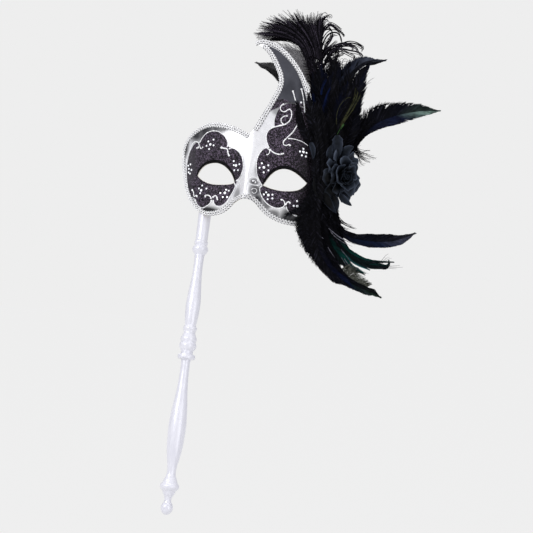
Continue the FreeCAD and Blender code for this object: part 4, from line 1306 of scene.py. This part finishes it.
def upper_feathers():
    """The pointed feathers behind the horn and above the rose."""
    feather(GOOSE, "goose_feather_horn_vane", HORN_GREY,
            [(58, 38, 48), (42, 37, 88), (26, 36.5, 108), (11, 36, 120.5), (-8.2, 36, 127.6)],
            [(0, 2, 2), (0.3, 7, 7), (0.7, 8, 7.5), (0.86, 7.2, 5.5), (0.95, 4.2, 2.6), (1, 0.8, 0.6)], 31,
            "goose_feather_horn", ragged=0.02, split=0.0, lit=1)
    feather(GOOSE, "goose_feather_middle_vane", NAVY,
            [(71, 40.5, 38), (66, 39.5, 82), (61, 39, 106), (58, 38.5, 124)],
            even((0, 4), (0.3, 13), (0.75, 12), (0.93, 7), (1, 2)), 32, "goose_feather_middle", ragged=0.12)
    feather(GOOSE, "goose_feather_right_vane", SLATE,
            [(84, 47, 40), (79, 46, 78), (79.5, 45, 104), (85.5, 44.5, 121), (96, 44, 131), (109, 44, 134),
             (122.5, 44, 136.5)],
            [(0, 3, 3), (0.25, 8, 10), (0.5, 5, 12), (0.66, 7, 11), (0.8, 6.8, 7), (0.9, 4.0, 3),
             (0.96, 2.2, 1.8), (1, 0.8, 0.6)], 33, "goose_feather_right", lit=-1, ragged=0.03)
    for number, (spine, half, seed) in enumerate([
            ([(77, 43, 40), (74, 42.5, 80), (73, 42, 108), (76, 41.5, 130)], 11, 34),
            ([(68, 38.5, 38), (62, 39, 70), (57, 39, 96), (51, 39, 118)], 8, 35),
            ([(86, 40, 36), (93.5, 36.5, 62), (96.5, 35.5, 92), (100.5, 35.5, 115), (107.5, 36, 129)], 9, 36),
            ([(72, 38, 40), (70, 37, 72), (70, 36.5, 98), (72, 36, 118)], 12, 37),
            ([(64, 38, 44), (57, 38.5, 66), (53.5, 38.5, 86), (50.5, 38.5, 102)], 6, 38),
            ([(76, 35, 42), (82, 34, 66), (86, 33.5, 90), (88, 33, 108)], 11, 39)]):
        feather(GOOSE, "goose_feather_back_" + str(number + 1), NAVY, spine,
                even((0, 4), (0.3, half), (0.75, half * 0.95), (0.94, half * 0.5), (1, 1)), seed,
                lit=-1 if number % 2 else 1, ragged=0.12, wild=0.1)
    feather(GOOSE, "goose_feather_band_vane", SLATE,
            [(78, 41.5, 70), (78.5, 40.5, 92), (81, 39.5, 106), (86.5, 39, 117), (94, 39, 126.5),
             (104, 39, 133.5), (114, 40, 136)],
            [(0, 2, 2), (0.3, 3, 3), (0.5, 4.5, 4.5), (0.8, 5, 5), (0.93, 3.5, 3), (1, 0.5, 0.5)], 68,
            lit=-1, ragged=0.04)
    feather(GOOSE, "goose_feather_patch_vane", SLATE,
            [(92, 40.5, 84), (95, 40, 100), (99, 40, 113), (103.5, 40, 122.5)],
            even((0, 3), (0.5, 5.5), (0.85, 5), (1, 1)), 65, ragged=0.12)
    fringe = Gather()
    chance = Chance(40)
    for _ in range(60):
        share = chance.random()
        root = Vector((90, 44, 128)).lerp(Vector((110, 44, 134)), share)
        flue(fringe, (root.x, 45.5, root.z), (1, 0, 4), (4, 0, -0.5),
             (root.x + chance.uniform(3, 6), 45.5 + chance.sway(2),
              root.z + chance.uniform(2, 6) * (1 - 0.4 * share)), chance.uniform(0.6, 0.9), chance)
    for end in ((113.6, 118.5), (109, 124), (110.5, 113.5)):
        flue(fringe, (101, 44, 100), (1, 0, 8), (5, 0, 2), (end[0], 44, end[1]), 0.6, chance, (0.5, 0.9))
    settle(fringe.build("goose_tip_fringe", HACKLE), *GOOSE)
    fill = Gather()
    for spine, half, seed in [([(74, 40, 40), (68, 40, 74), (62, 40, 100), (57, 40, 122)], 10, 61),
                              ([(76, 41, 40), (76, 42, 78), (74, 43, 108), (70, 44, 134)], 12, 62),
                              ([(80, 39, 40), (84.5, 38, 76), (87, 38, 104), (90, 39, 122)], 11.5, 63),
                              ([(70, 40, 40), (64, 40.5, 62), (58.5, 41, 82), (54, 41, 100)], 6.5, 64),
                              ([(72, 37, 36), (69, 37, 60), (67, 37.5, 84), (66, 38, 104)], 10, 66),
                              ([(80, 34, 36), (78, 34, 58), (78, 34, 80), (80, 34, 98)], 10, 67)]:
        vane(fill, spine, even((0, 3), (0.3, half), (0.8, half), (1, half * 0.5)), SOFT, seed)
    settle(fill.build("marabou_upper_barbs", HACKLE), "upper_plumes", "black_hackle")
    strands = Gather()
    base = Gather()
    chance = Chance(41)
    for run in ([(82, 56), (85.5, 66), (91, 78), (95.5, 90), (96.9, 103)],
                [(82.5, 56), (86.5, 66), (93, 78), (98, 90), (98.5, 100)],
                [(82, 57), (86, 68), (94.5, 80), (100, 92), (101.5, 97)],
                [(81.5, 57), (84.5, 67), (89.5, 78), (94, 88), (97, 97)],
                [(82, 55), (85, 64), (90, 76), (97, 90), (99.5, 99)]):
        for _ in range(3):
            path = curve3(run, 28.5, chance, 0.5)
            strand(strands, path, chance.uniform(0.3, 0.5), chance, (0.75, 0.45), chance.random(), 0.5)
    strand(strands, curve3([(80.5, 62), (79.5, 74), (81.2, 83), (84.8, 89.3), (89.5, 93.6), (92.8, 93.5)],
                           28.5, chance, 0), 0.5, chance, (0.5, 0.5), 0.99, 0.5)
    for _ in range(12):
        path = curve3([(81, 51), (82, 56.5), (84, 61), (87, 66)], 28, chance, 0.7)
        strand(base, path, 0.35, chance, (0.7, 0.5), chance.random(), 0.5)
    blue = Gather()
    for run in ([(64, 62), (63.4, 72), (64.6, 82), (67, 90)], [(65, 60), (64.8, 70), (66, 79)],
                [(57, 76), (55.5, 86), (52.5, 97)], [(66, 88), (68, 97), (71, 104)],
                [(62, 96), (63, 104), (66, 112)]):
        for _ in range(4):
            strand(blue, curve3(run, 31.0, chance, 0.9), chance.uniform(0.5, 0.9), chance, (0.6, 0.7),
                   chance.random(), 0.3)
    settle(blue.build("blue_feather_strands", BLUE), *GOOSE)
    settle(strands.build("peacock_herl_strands", HERL), "upper_plumes", "herl_green", "peacock_herl")
    settle(base.build("peacock_herl_base", HERL_BASE), "upper_plumes", "herl_green")


def side_feather():
    """The broad cock feather that points right, and the soft hackles at its root."""
    feather(("side_plume", "coque_black"), "coque_feather_side_vane", MINT,
            [(95, 50, 30), (100, 49.5, 48), (108, 49, 62), (120, 48.5, 73), (133, 48, 79.5), (148, 47.5, 84),
             (164, 47, 87), (181, 46.5, 87.8)],
            [(0, 5, 1), (0.16, 9, 1.5), (0.3, 13, 3.5), (0.45, 16, 9), (0.57, 15.5, 12.5), (0.71, 11.2, 9.6),
             (0.85, 7, 6.6), (0.93, 3, 4.6), (1, 0.4, 0.4)], 51,
            "coque_feather_side", down=0.35, lit=1, ragged=0.05, split=0.02, wild=0.05,
            angles=[(0, 50), (0.5, 46), (0.85, 30), (1, 12)])
    edge = Gather()
    chance = Chance(52)
    for _ in range(90):
        share = chance.random()
        root = along_run([(107, 80), (116, 88), (128, 92), (142, 93), (155, 93.5)], share)
        reach = chance.uniform(2, 4.5) * (1.1 - 0.5 * share)
        flue(edge, (root.x, 47.8, root.y), (0.5, 0, 1.5), (1.0, 0, 1.2),
             (root.x + reach * 0.6, 47.5 + chance.sway(1), root.y + reach * 0.75), 0.8, chance, None)
    settle(edge.build("coque_side_serration", HACKLE), "side_plume", "coque_black")
    soft = Gather()
    for spine, half, seed in [([(95, 48, 26), (96, 48, 46), (102, 47.5, 61), (115, 47, 73)], 3.5, 71),
                              ([(94, 48, 24), (94, 48, 46), (98, 48, 62), (105, 48, 75)], 5.5, 72)]:
        vane(soft, spine, even((0, 3), (0.4, half), (0.8, half * 0.8), (1, 2)), SOFT, seed)
    for end, count in (((105, 42), 4), ((109.5, 40.5), 5), ((112, 37), 5), ((116, 43), 4), ((123.5, 36.5), 5),
                       ((117, 32.5), 6), ((110, 33), 6), ((111.5, 28.5), 6), ((105, 46), 3)):
        for _ in range(count):
            flue(soft, (100 + chance.sway(1), 46, 46 + chance.uniform(-7, 3)),
                 (chance.uniform(2, 7), 0, chance.uniform(-5, 0)), (6, 0, chance.uniform(-3, 2)),
                 (end[0] + chance.uniform(-4, 1), 46 + chance.sway(5), end[1] + chance.sway(2)),
                 chance.uniform(0.25, 0.5), chance, (0.9, 0.6))
    settle(soft.build("marabou_side_barbs", HACKLE), "side_plume", "black_hackle")


def low_feathers():
    """The cock feathers that hang below the rose."""
    crisp = {"ragged": 0.02, "split": 0.01, "wild": 0.03}
    feather(COQUE, "coque_feather_low_1_vane", LILAC,
            [(86, 28, -18), (90, 26, -37), (101, 24.5, -46.3), (115, 24, -49.6), (131, 23.5, -50.2),
             (146, 23, -48.6), (157, 22.5, -44.6), (165.5, 22, -40.2)],
            [(0, 2, 2), (0.25, 4, 3.5), (0.42, 6.5, 5), (0.56, 8.4, 6.6), (0.75, 8.8, 6.0), (0.88, 5.4, 4.6),
             (0.95, 2.4, 3.0), (1, 0.6, 0.8)], 52, "coque_feather_low_1", lit=1, **crisp)
    feather(COQUE, "coque_feather_low_2_vane", TEAL,
            [(79, 22, -18), (86, 18, -42), (98, 17, -59), (112, 16.5, -67.5), (126, 16, -70.5),
             (148, 16, -69.8)],
            [(0, 4, 4), (0.3, 5, 6), (0.6, 4, 5), (0.75, 2.4, 3.0), (0.86, 1.2, 1.2), (1, 0.3, 0.3)], 53,
            "coque_feather_low_2", lit=-1, split=0.08)
    feather(COQUE, "coque_feather_low_3_vane", DEEP_GREEN,
            [(70, 13, -18), (76, 10.5, -50), (88, 9.5, -75), (101, 9.5, -89), (116, 9, -96.8),
             (127, 9, -100.2), (137.5, 9, -104.8)],
            [(0, 6, 6), (0.3, 8, 8), (0.6, 6, 5.5), (0.8, 4.4, 4.4), (0.93, 4.2, 3.8), (0.97, 2.2, 2.2),
             (1, 0.6, 0.6)], 54, "coque_feather_low_3", lit=1, split=0.05)
    feather(COQUE, "coque_feather_low_4_vane", NAVY,
            [(76, 33, -20), (85, 31, -50), (97, 30, -70), (110, 30, -82)],
            even((0, 5), (0.3, 7), (0.75, 5), (0.92, 3), (1, 1)), 55, "coque_feather_low_4", split=0.12,
            ragged=0.2)
    feather(COQUE, "coque_feather_navy_vane", INDIGO,
            [(69, 11, -24), (69.5, 6.5, -42), (76, 4.5, -66), (87.5, 4.5, -82), (99, 5, -90.5),
             (110, 6, -97.5)],
            [(0, 5, 5), (0.3, 6, 6), (0.65, 5.4, 7.6), (0.85, 6.6, 6.0), (0.94, 4, 3), (1, 0.6, 0.6)], 56,
            lit=-1, **crisp)
    feather(COQUE, "coque_feather_teal_vane", TEAL,
            [(73, 16, -20), (80, 14.5, -46), (92, 14, -65), (104, 14, -76), (118.5, 14, -82.5)],
            even((0, 4), (0.3, 6), (0.7, 5.5), (0.9, 3.5), (1, 1)), 57, lit=-1, split=0.16, ragged=0.2)
    feather(COQUE, "coque_feather_cyan_vane", CYAN,
            [(81, 15, -32), (89, 14.2, -52), (103, 13.6, -67), (113, 13.5, -74.5), (125, 13.5, -79)],
            even((0, 1.4), (0.5, 1.5), (0.8, 1.3), (1, 0.3)), 59, lit=1, **crisp)
    feather(COQUE, "coque_feather_curl_vane", TEAL,
            [(82, 24, -24), (93, 20, -54), (107, 17.5, -68), (120, 17, -73), (132, 17, -74.5),
             (139, 17, -74.6), (143, 17, -72.5), (143.6, 17, -69)],
            [(0, 3, 3), (0.4, 4.5, 4.5), (0.68, 4.2, 4.0), (0.85, 3.2, 3.4), (0.94, 2.4, 2.6), (1, 0.3, 0.3)],
            58, lit=-1, **crisp)
    mass = Gather()
    for spine, half, seed in [([(68, 18, 0), (70, 14, -30), (76, 12.5, -55), (86, 12, -74)], 9, 81),
                              ([(76, 24, -8), (79, 20, -34), (87, 19, -54), (97, 19, -70)], 8, 82),
                              ([(80, 26, -10), (83, 24, -32), (91, 23, -48), (102, 23, -60)], 6, 83),
                              ([(66, 13, -6), (66, 9, -34), (70, 8, -56), (78, 8, -73)], 7, 84)]:
        vane(mass, spine, even((0, 4), (0.3, half), (0.75, half * 0.8), (1, 1.0)),
             dict(PLAIN, ragged=0.22, wild=0.15, down=0.3, split=0.1), seed)
    settle(mass.build("coque_mass_vanes", HACKLE), *COQUE)
    down = Gather()
    for spine, half, seed in [([(64, 9, -12), (57, 6.5, -34), (57, 6, -50), (63, 6, -66)], 4.6, 91),
                              ([(66, 9, -18), (60, 6, -44), (65, 5.5, -60), (72, 6, -74)], 5, 92),
                              ([(66, 10, -22), (64, 7, -52), (70, 6.5, -68), (78, 7, -80)], 4.5, 93),
                              ([(62, 9, -10), (55, 7, -32), (53.5, 6.5, -42), (55.5, 6.5, -52)], 4.2, 94),
                              ([(63, 9, -8), (56, 5, -20), (48, 2.8, -27.5), (40.5, 2, -31)], 3.6, 97)]:
        vane(down, spine, even((0, 3), (0.4, half), (0.85, half * 0.9), (1, 1.5)), DOWNY, seed)
    chance = Chance(96)
    for _ in range(170):
        share = chance.random()
        tip = along_run([(48.5, -43), (53, -51), (58, -60), (62, -66.5), (66.5, -73.5), (74.5, -81)], share)
        push = chance.uniform(-3.0, 0.5)
        flue(down, (tip.x + 9 - 2 * share, 6.5, tip.y + 15), (-3, 0, -6), (0.5 - 2 * share, 0, -4),
             (tip.x - push * 0.7, 6.5 + chance.sway(1), tip.y - push * 0.3 + chance.sway(1.5)),
             chance.uniform(0.8, 1.3), chance, None)
    settle(down.build("hackle_cheek_barbs", HACKLE), "lower_plumes", "black_hackle", "hackle_cheek")
    wisps = Gather()
    chance = Chance(95)
    for end, bold in (((90, -31.2), 2), ((99, -34.8), 4), ((105.4, -36.2), 2), ((108.6, -38.8), 5),
                      ((94, -33), 2), ((102, -40), 4), ((96, -38), 2), ((86, -28.5), 2)):
        for _ in range(bold):
            flue(wisps, (80 + chance.sway(3), 22, -16 + chance.uniform(-8, 3)), (2, 0, -9), (9, 0, -1.2),
                 (end[0] + chance.uniform(-3, 1), 22, end[1] + chance.sway(0.7)), 0.8, chance, (0.5, 0.8))
    for end in ((158, -74), (152, -76), (146, -66), (143, -62), (144, -65), (155, -72.5)):
        flue(wisps, (128, 19, -75), (8, 0, -1), (5, 0, 0.5), (end[0], 17, end[1]), 0.5, chance, (0.3, 1.2))
    settle(wisps.build("coque_wisps", HACKLE), *COQUE)
    fuzz = Gather()
    for _ in range(420):
        share = chance.random()
        root = along_run([(96, -83), (106, -90), (115, -94.5), (124, -98)], share)
        reach = chance.uniform(3, 12) * (1.1 - 0.5 * share)
        flue(fuzz, (root.x, 10, root.y), (1, 0, 2), (2, 0, -0.5),
             (root.x + reach * 0.9, 11, root.y + reach * 0.75), 0.4, chance, (0.8, 0.7))
    settle(fuzz.build("coque_grey_fuzz", FUZZ), "lower_plumes", "black_hackle")
    # pale strands that are painted highlights along the lower barbs
    shine = Gather()
    for run, width in (([(70, -45), (74, -48), (78.2, -52)], 0.8), ([(83.4, -60), (87, -65), (91, -70)], 0.6),
                       ([(64.3, -54), (67, -60), (70, -66), (74.5, -75.4)], 0.55),
                       ([(62, -48), (64, -53), (66, -57)], 0.4), ([(76, -62), (80, -69), (85, -76)], 0.4),
                       ([(96, -61), (102, -67.5), (109, -76), (117, -80), (125.5, -83.4)], 0.45),
                       ([(82, -41), (88, -45.5), (95, -49.5), (104, -53.5)], 0.6),
                       ([(84, -44), (90, -49.5), (98, -54), (107, -57.5)], 0.5),
                       ([(86, -43.5), (93, -49), (101, -52.6), (110, -55.5)], 0.5),
                       ([(100, -70), (104, -75), (109, -79.5)], 0.5),
                       ([(97, -69), (101, -74.5), (106, -80)], 0.4)):
        strand(shine, curve3(run, 6.4 if run[0][0] < 92 and run[0][1] < -44.5 else 12.8, chance, 0), width,
               chance, None, chance.random(), 0.4)
    settle(shine.build("coque_painted_highlight_strands", SHINE), *COQUE)


def temple_hackles():
    """Black hackles over the temple, in front of the shell's edge."""
    temple = Gather()
    for spine, half, seed in [([(70, 15, 14), (67, 14, 36), (62.5, 15.5, 58), (58, 19, 84)], 5.2, 101),
                              ([(72, 16, 16), (70, 16, 40), (66, 18, 62), (62, 23, 84)], 6, 102),
                              ([(70, 14, 20), (65, 12.5, 0), (61, 9.5, -24), (57.5, 7.5, -44)], 5.0, 103),
                              ([(72, 15, 22), (69, 12, -4), (66, 9.5, -28), (63, 8.5, -46)], 7, 104),
                              ([(70, 15, -6), (64.5, 13, 14), (63, 13, 34), (62, 14, 52)], 4.6, 105),
                              ([(67, 19, 42), (60, 18, 56), (54.5, 16.5, 74), (51, 17, 92)], 5.2, 109),
                              ([(64, 18, 36), (54, 15, 48), (46, 13.5, 62), (40.5, 13.5, 82)], 4.6, 110),
                              ([(75, 22, 24), (74, 22, 44), (73, 24, 62), (72, 27, 76)], 7, 106),
                              ([(82, 26, 22), (82, 26, 40), (82, 27, 56), (80, 29, 68)], 8, 107),
                              ([(74, 20, 14), (77, 20, 0), (80, 19, -14), (83, 18, -27)], 6.5, 108)]:
        vane(temple, spine, even((0, 3), (0.3, half), (0.8, half * 0.9), (1, 1.5)),
             dict(SOFT, wild=0.15, ragged=0.12, width=0.75), seed)
    settle(temple.build("hackle_temple_barbs", HACKLE), "mask", "black_hackle", "hackle_temple")


def tuft(name, body, slot, pivot, roots, run, spread, deep, count, seed):
    """Bare quills from a pivot to the feathers' roots, and soft down that fills the bunch in depth.

    run is the bunch's middle line as (x, z); spread is its half width at both ends, deep its y range."""
    gathered = Gather()
    chance = Chance(seed)
    foot = Vector(pivot)
    for root in roots:
        quill = smooth([pivot, tuple(foot.lerp(Vector(root), 0.6)), root], 2.0)
        gathered.tube([at(*p) for p in quill], [0.75 * MM] * len(quill), 6, tone=0.2)
    for _ in range(count):
        share = chance.random() ** 0.8
        middle = along_run(run, share)
        ahead = along_run(run, min(1, share + 0.05)) - along_run(run, max(0, share - 0.05))
        side = Vector((ahead.y, -ahead.x)).normalized()
        way = ahead.normalized()
        off = chance.sway(1) * (spread[0] + (spread[1] - spread[0]) * share)
        end = middle + side * off
        length = 10 + 22 * share
        start = foot.lerp(Vector((end.x, foot.y, end.y)), 0.15 + 0.5 * share)
        flue(gathered, start, (way.x * length * 0.3, 0, way.y * length * 0.3),
             (way.x * 6 + side.x * off * 0.3, chance.sway(3), way.y * 6 + side.y * off * 0.3),
             (end.x, chance.uniform(*deep), end.y), chance.uniform(0.5, 0.9), chance, (1.3, 0.55))
    settle(gathered.build(name, HACKLE), body, slot)


ostrich()
upper_feathers()
side_feather()
low_feathers()
temple_hackles()
tuft("upper_quills_and_down", "upper_plumes", "black_hackle", (76, 43.5, 23),
     [(62, 45, 39), (80, 53, 39), (60, 38.5, 46), (71, 40.5, 39), (84, 47, 41), (77, 43, 41), (68, 36.5, 39),
      (86, 42.5, 38)], [(76, 34), (76, 60), (74, 88), (72, 116)], (8, 16), (35, 52), 300, 111)
tuft("side_quills_and_down", "side_plume", "black_hackle", (93, 49.5, 19), [(97, 50, 31), (98, 48, 28)],
     [(93, 26), (92, 42), (95, 56), (101, 68), (108, 77)], (3, 5), (47, 57), 130, 112)
tuft("lower_quills_and_down", "lower_plumes", "black_hackle", (77, 24, -11),
     [(86, 28, -19), (79, 22, -19), (70, 13, -19), (76, 33, -21), (66, 12, -11), (73, 16, -21)],
     [(72, -18), (70, -38), (75, -56), (84, -70), (94, -82)], (7, 4), (7, 31), 260, 113)


# ---------------------------------------------------------------- stage, light and camera

PALE = (0.855, 0.855, 0.855, 1)
FLOOR_HALF = 6.0
FLOOR_BELOW = 0.30


def stage():
    """A pale floor well below the held mask, and an even pale surround that lights from above."""
    shader = Shader("pale_floor")
    shader.set(Base_Color=(0.02, 0.02, 0.02, 1), Roughness=1.0, Specular_IOR_Level=0.0,
               Emission_Color=PALE, Emission_Strength=0.985)
    mesh = bpy.data.meshes.new("floor")
    low = cad_box[0].z - FLOOR_BELOW
    corners = [(x * FLOOR_HALF, y * FLOOR_HALF, low) for x, y in ((-1, -1), (1, -1), (1, 1), (-1, 1))]
    mesh.from_pydata(corners, [], [(0, 1, 2, 3)])
    mesh.materials.append(shader.mat)
    floor = bpy.data.objects.new("floor", mesh)
    bpy.context.scene.collection.objects.link(floor)
    world = bpy.data.worlds.new("surround")
    world.use_nodes = True
    nodes = Nodes(world.node_tree)
    seen = world.node_tree.nodes["Background"]
    seen.inputs["Color"].default_value = PALE
    coords = nodes.node("ShaderNodeTexCoord")
    split = nodes.node("ShaderNodeSeparateXYZ", {0: coords.outputs["Generated"]})
    shades = nodes.colours(nodes.spread(split.outputs["Z"], -1.0, 1.0),
                           [(0.0, (0.16, 0.16, 0.18)), (0.5, (0.42, 0.42, 0.46)), (1.0, (0.85, 0.85, 0.87))])
    lit = nodes.node("ShaderNodeBackground", {"Color": shades})
    path = nodes.node("ShaderNodeLightPath")
    mix = nodes.node("ShaderNodeMixShader", {"Fac": path.outputs["Is Camera Ray"], 1: lit.outputs[0],
                                             2: seen.outputs[0]})
    nodes.feed(world.node_tree.nodes["World Output"].inputs["Surface"], mix.outputs[0])
    bpy.context.scene.world = world


def softbox(name, place, aim, size, power):
    """A square softbox turned towards a place."""
    light = bpy.data.lights.new(name, "AREA")
    light.shape = "RECTANGLE"
    light.size, light.size_y = size
    light.energy = power
    lamp = bpy.data.objects.new(name, light)
    lamp.location = place
    lamp.rotation_euler = (aim - place).to_track_quat("-Z", "Y").to_euler()
    bpy.context.scene.collection.objects.link(lamp)


def camera():
    """The camera: level, turned and rolled a little, and moved sideways to frame the whole stick."""
    look = Vector((-math.sin(AZIMUTH), math.cos(AZIMUTH), 0))
    flat = Vector((math.cos(AZIMUTH), math.sin(AZIMUTH), 0))
    up = Vector((0, 0, 1))
    right = flat * math.cos(ROLL) + up * math.sin(ROLL)
    top = up * math.cos(ROLL) - flat * math.sin(ROLL)
    data = bpy.data.cameras.new("camera")
    data.lens = LENS_MM
    data.sensor_width = 36.0
    data.clip_start = 0.01
    view = bpy.data.objects.new("camera", data)
    place = MASK_AT - look * DISTANCE + right * SHIFT_RIGHT - top * SHIFT_DOWN
    matrix = Matrix((right, top, -look)).transposed().to_4x4()
    matrix.translation = place * MM
    view.matrix_world = matrix
    bpy.context.scene.collection.objects.link(view)
    bpy.context.scene.camera = view


stage()
HEART = at(0, 10, -20)
softbox("key", HEART + Vector((-0.9, -1.3, 0.9)), HEART, (0.9, 0.9), 14)
softbox("fill", HEART + Vector((1.3, -1.2, 0.2)), HEART, (1.0, 1.2), 6)
softbox("top", HEART + Vector((0.1, 0.3, 1.5)), HEART, (1.2, 0.8), 8)
camera()
bpy.context.scene.view_settings.view_transform = "Standard"
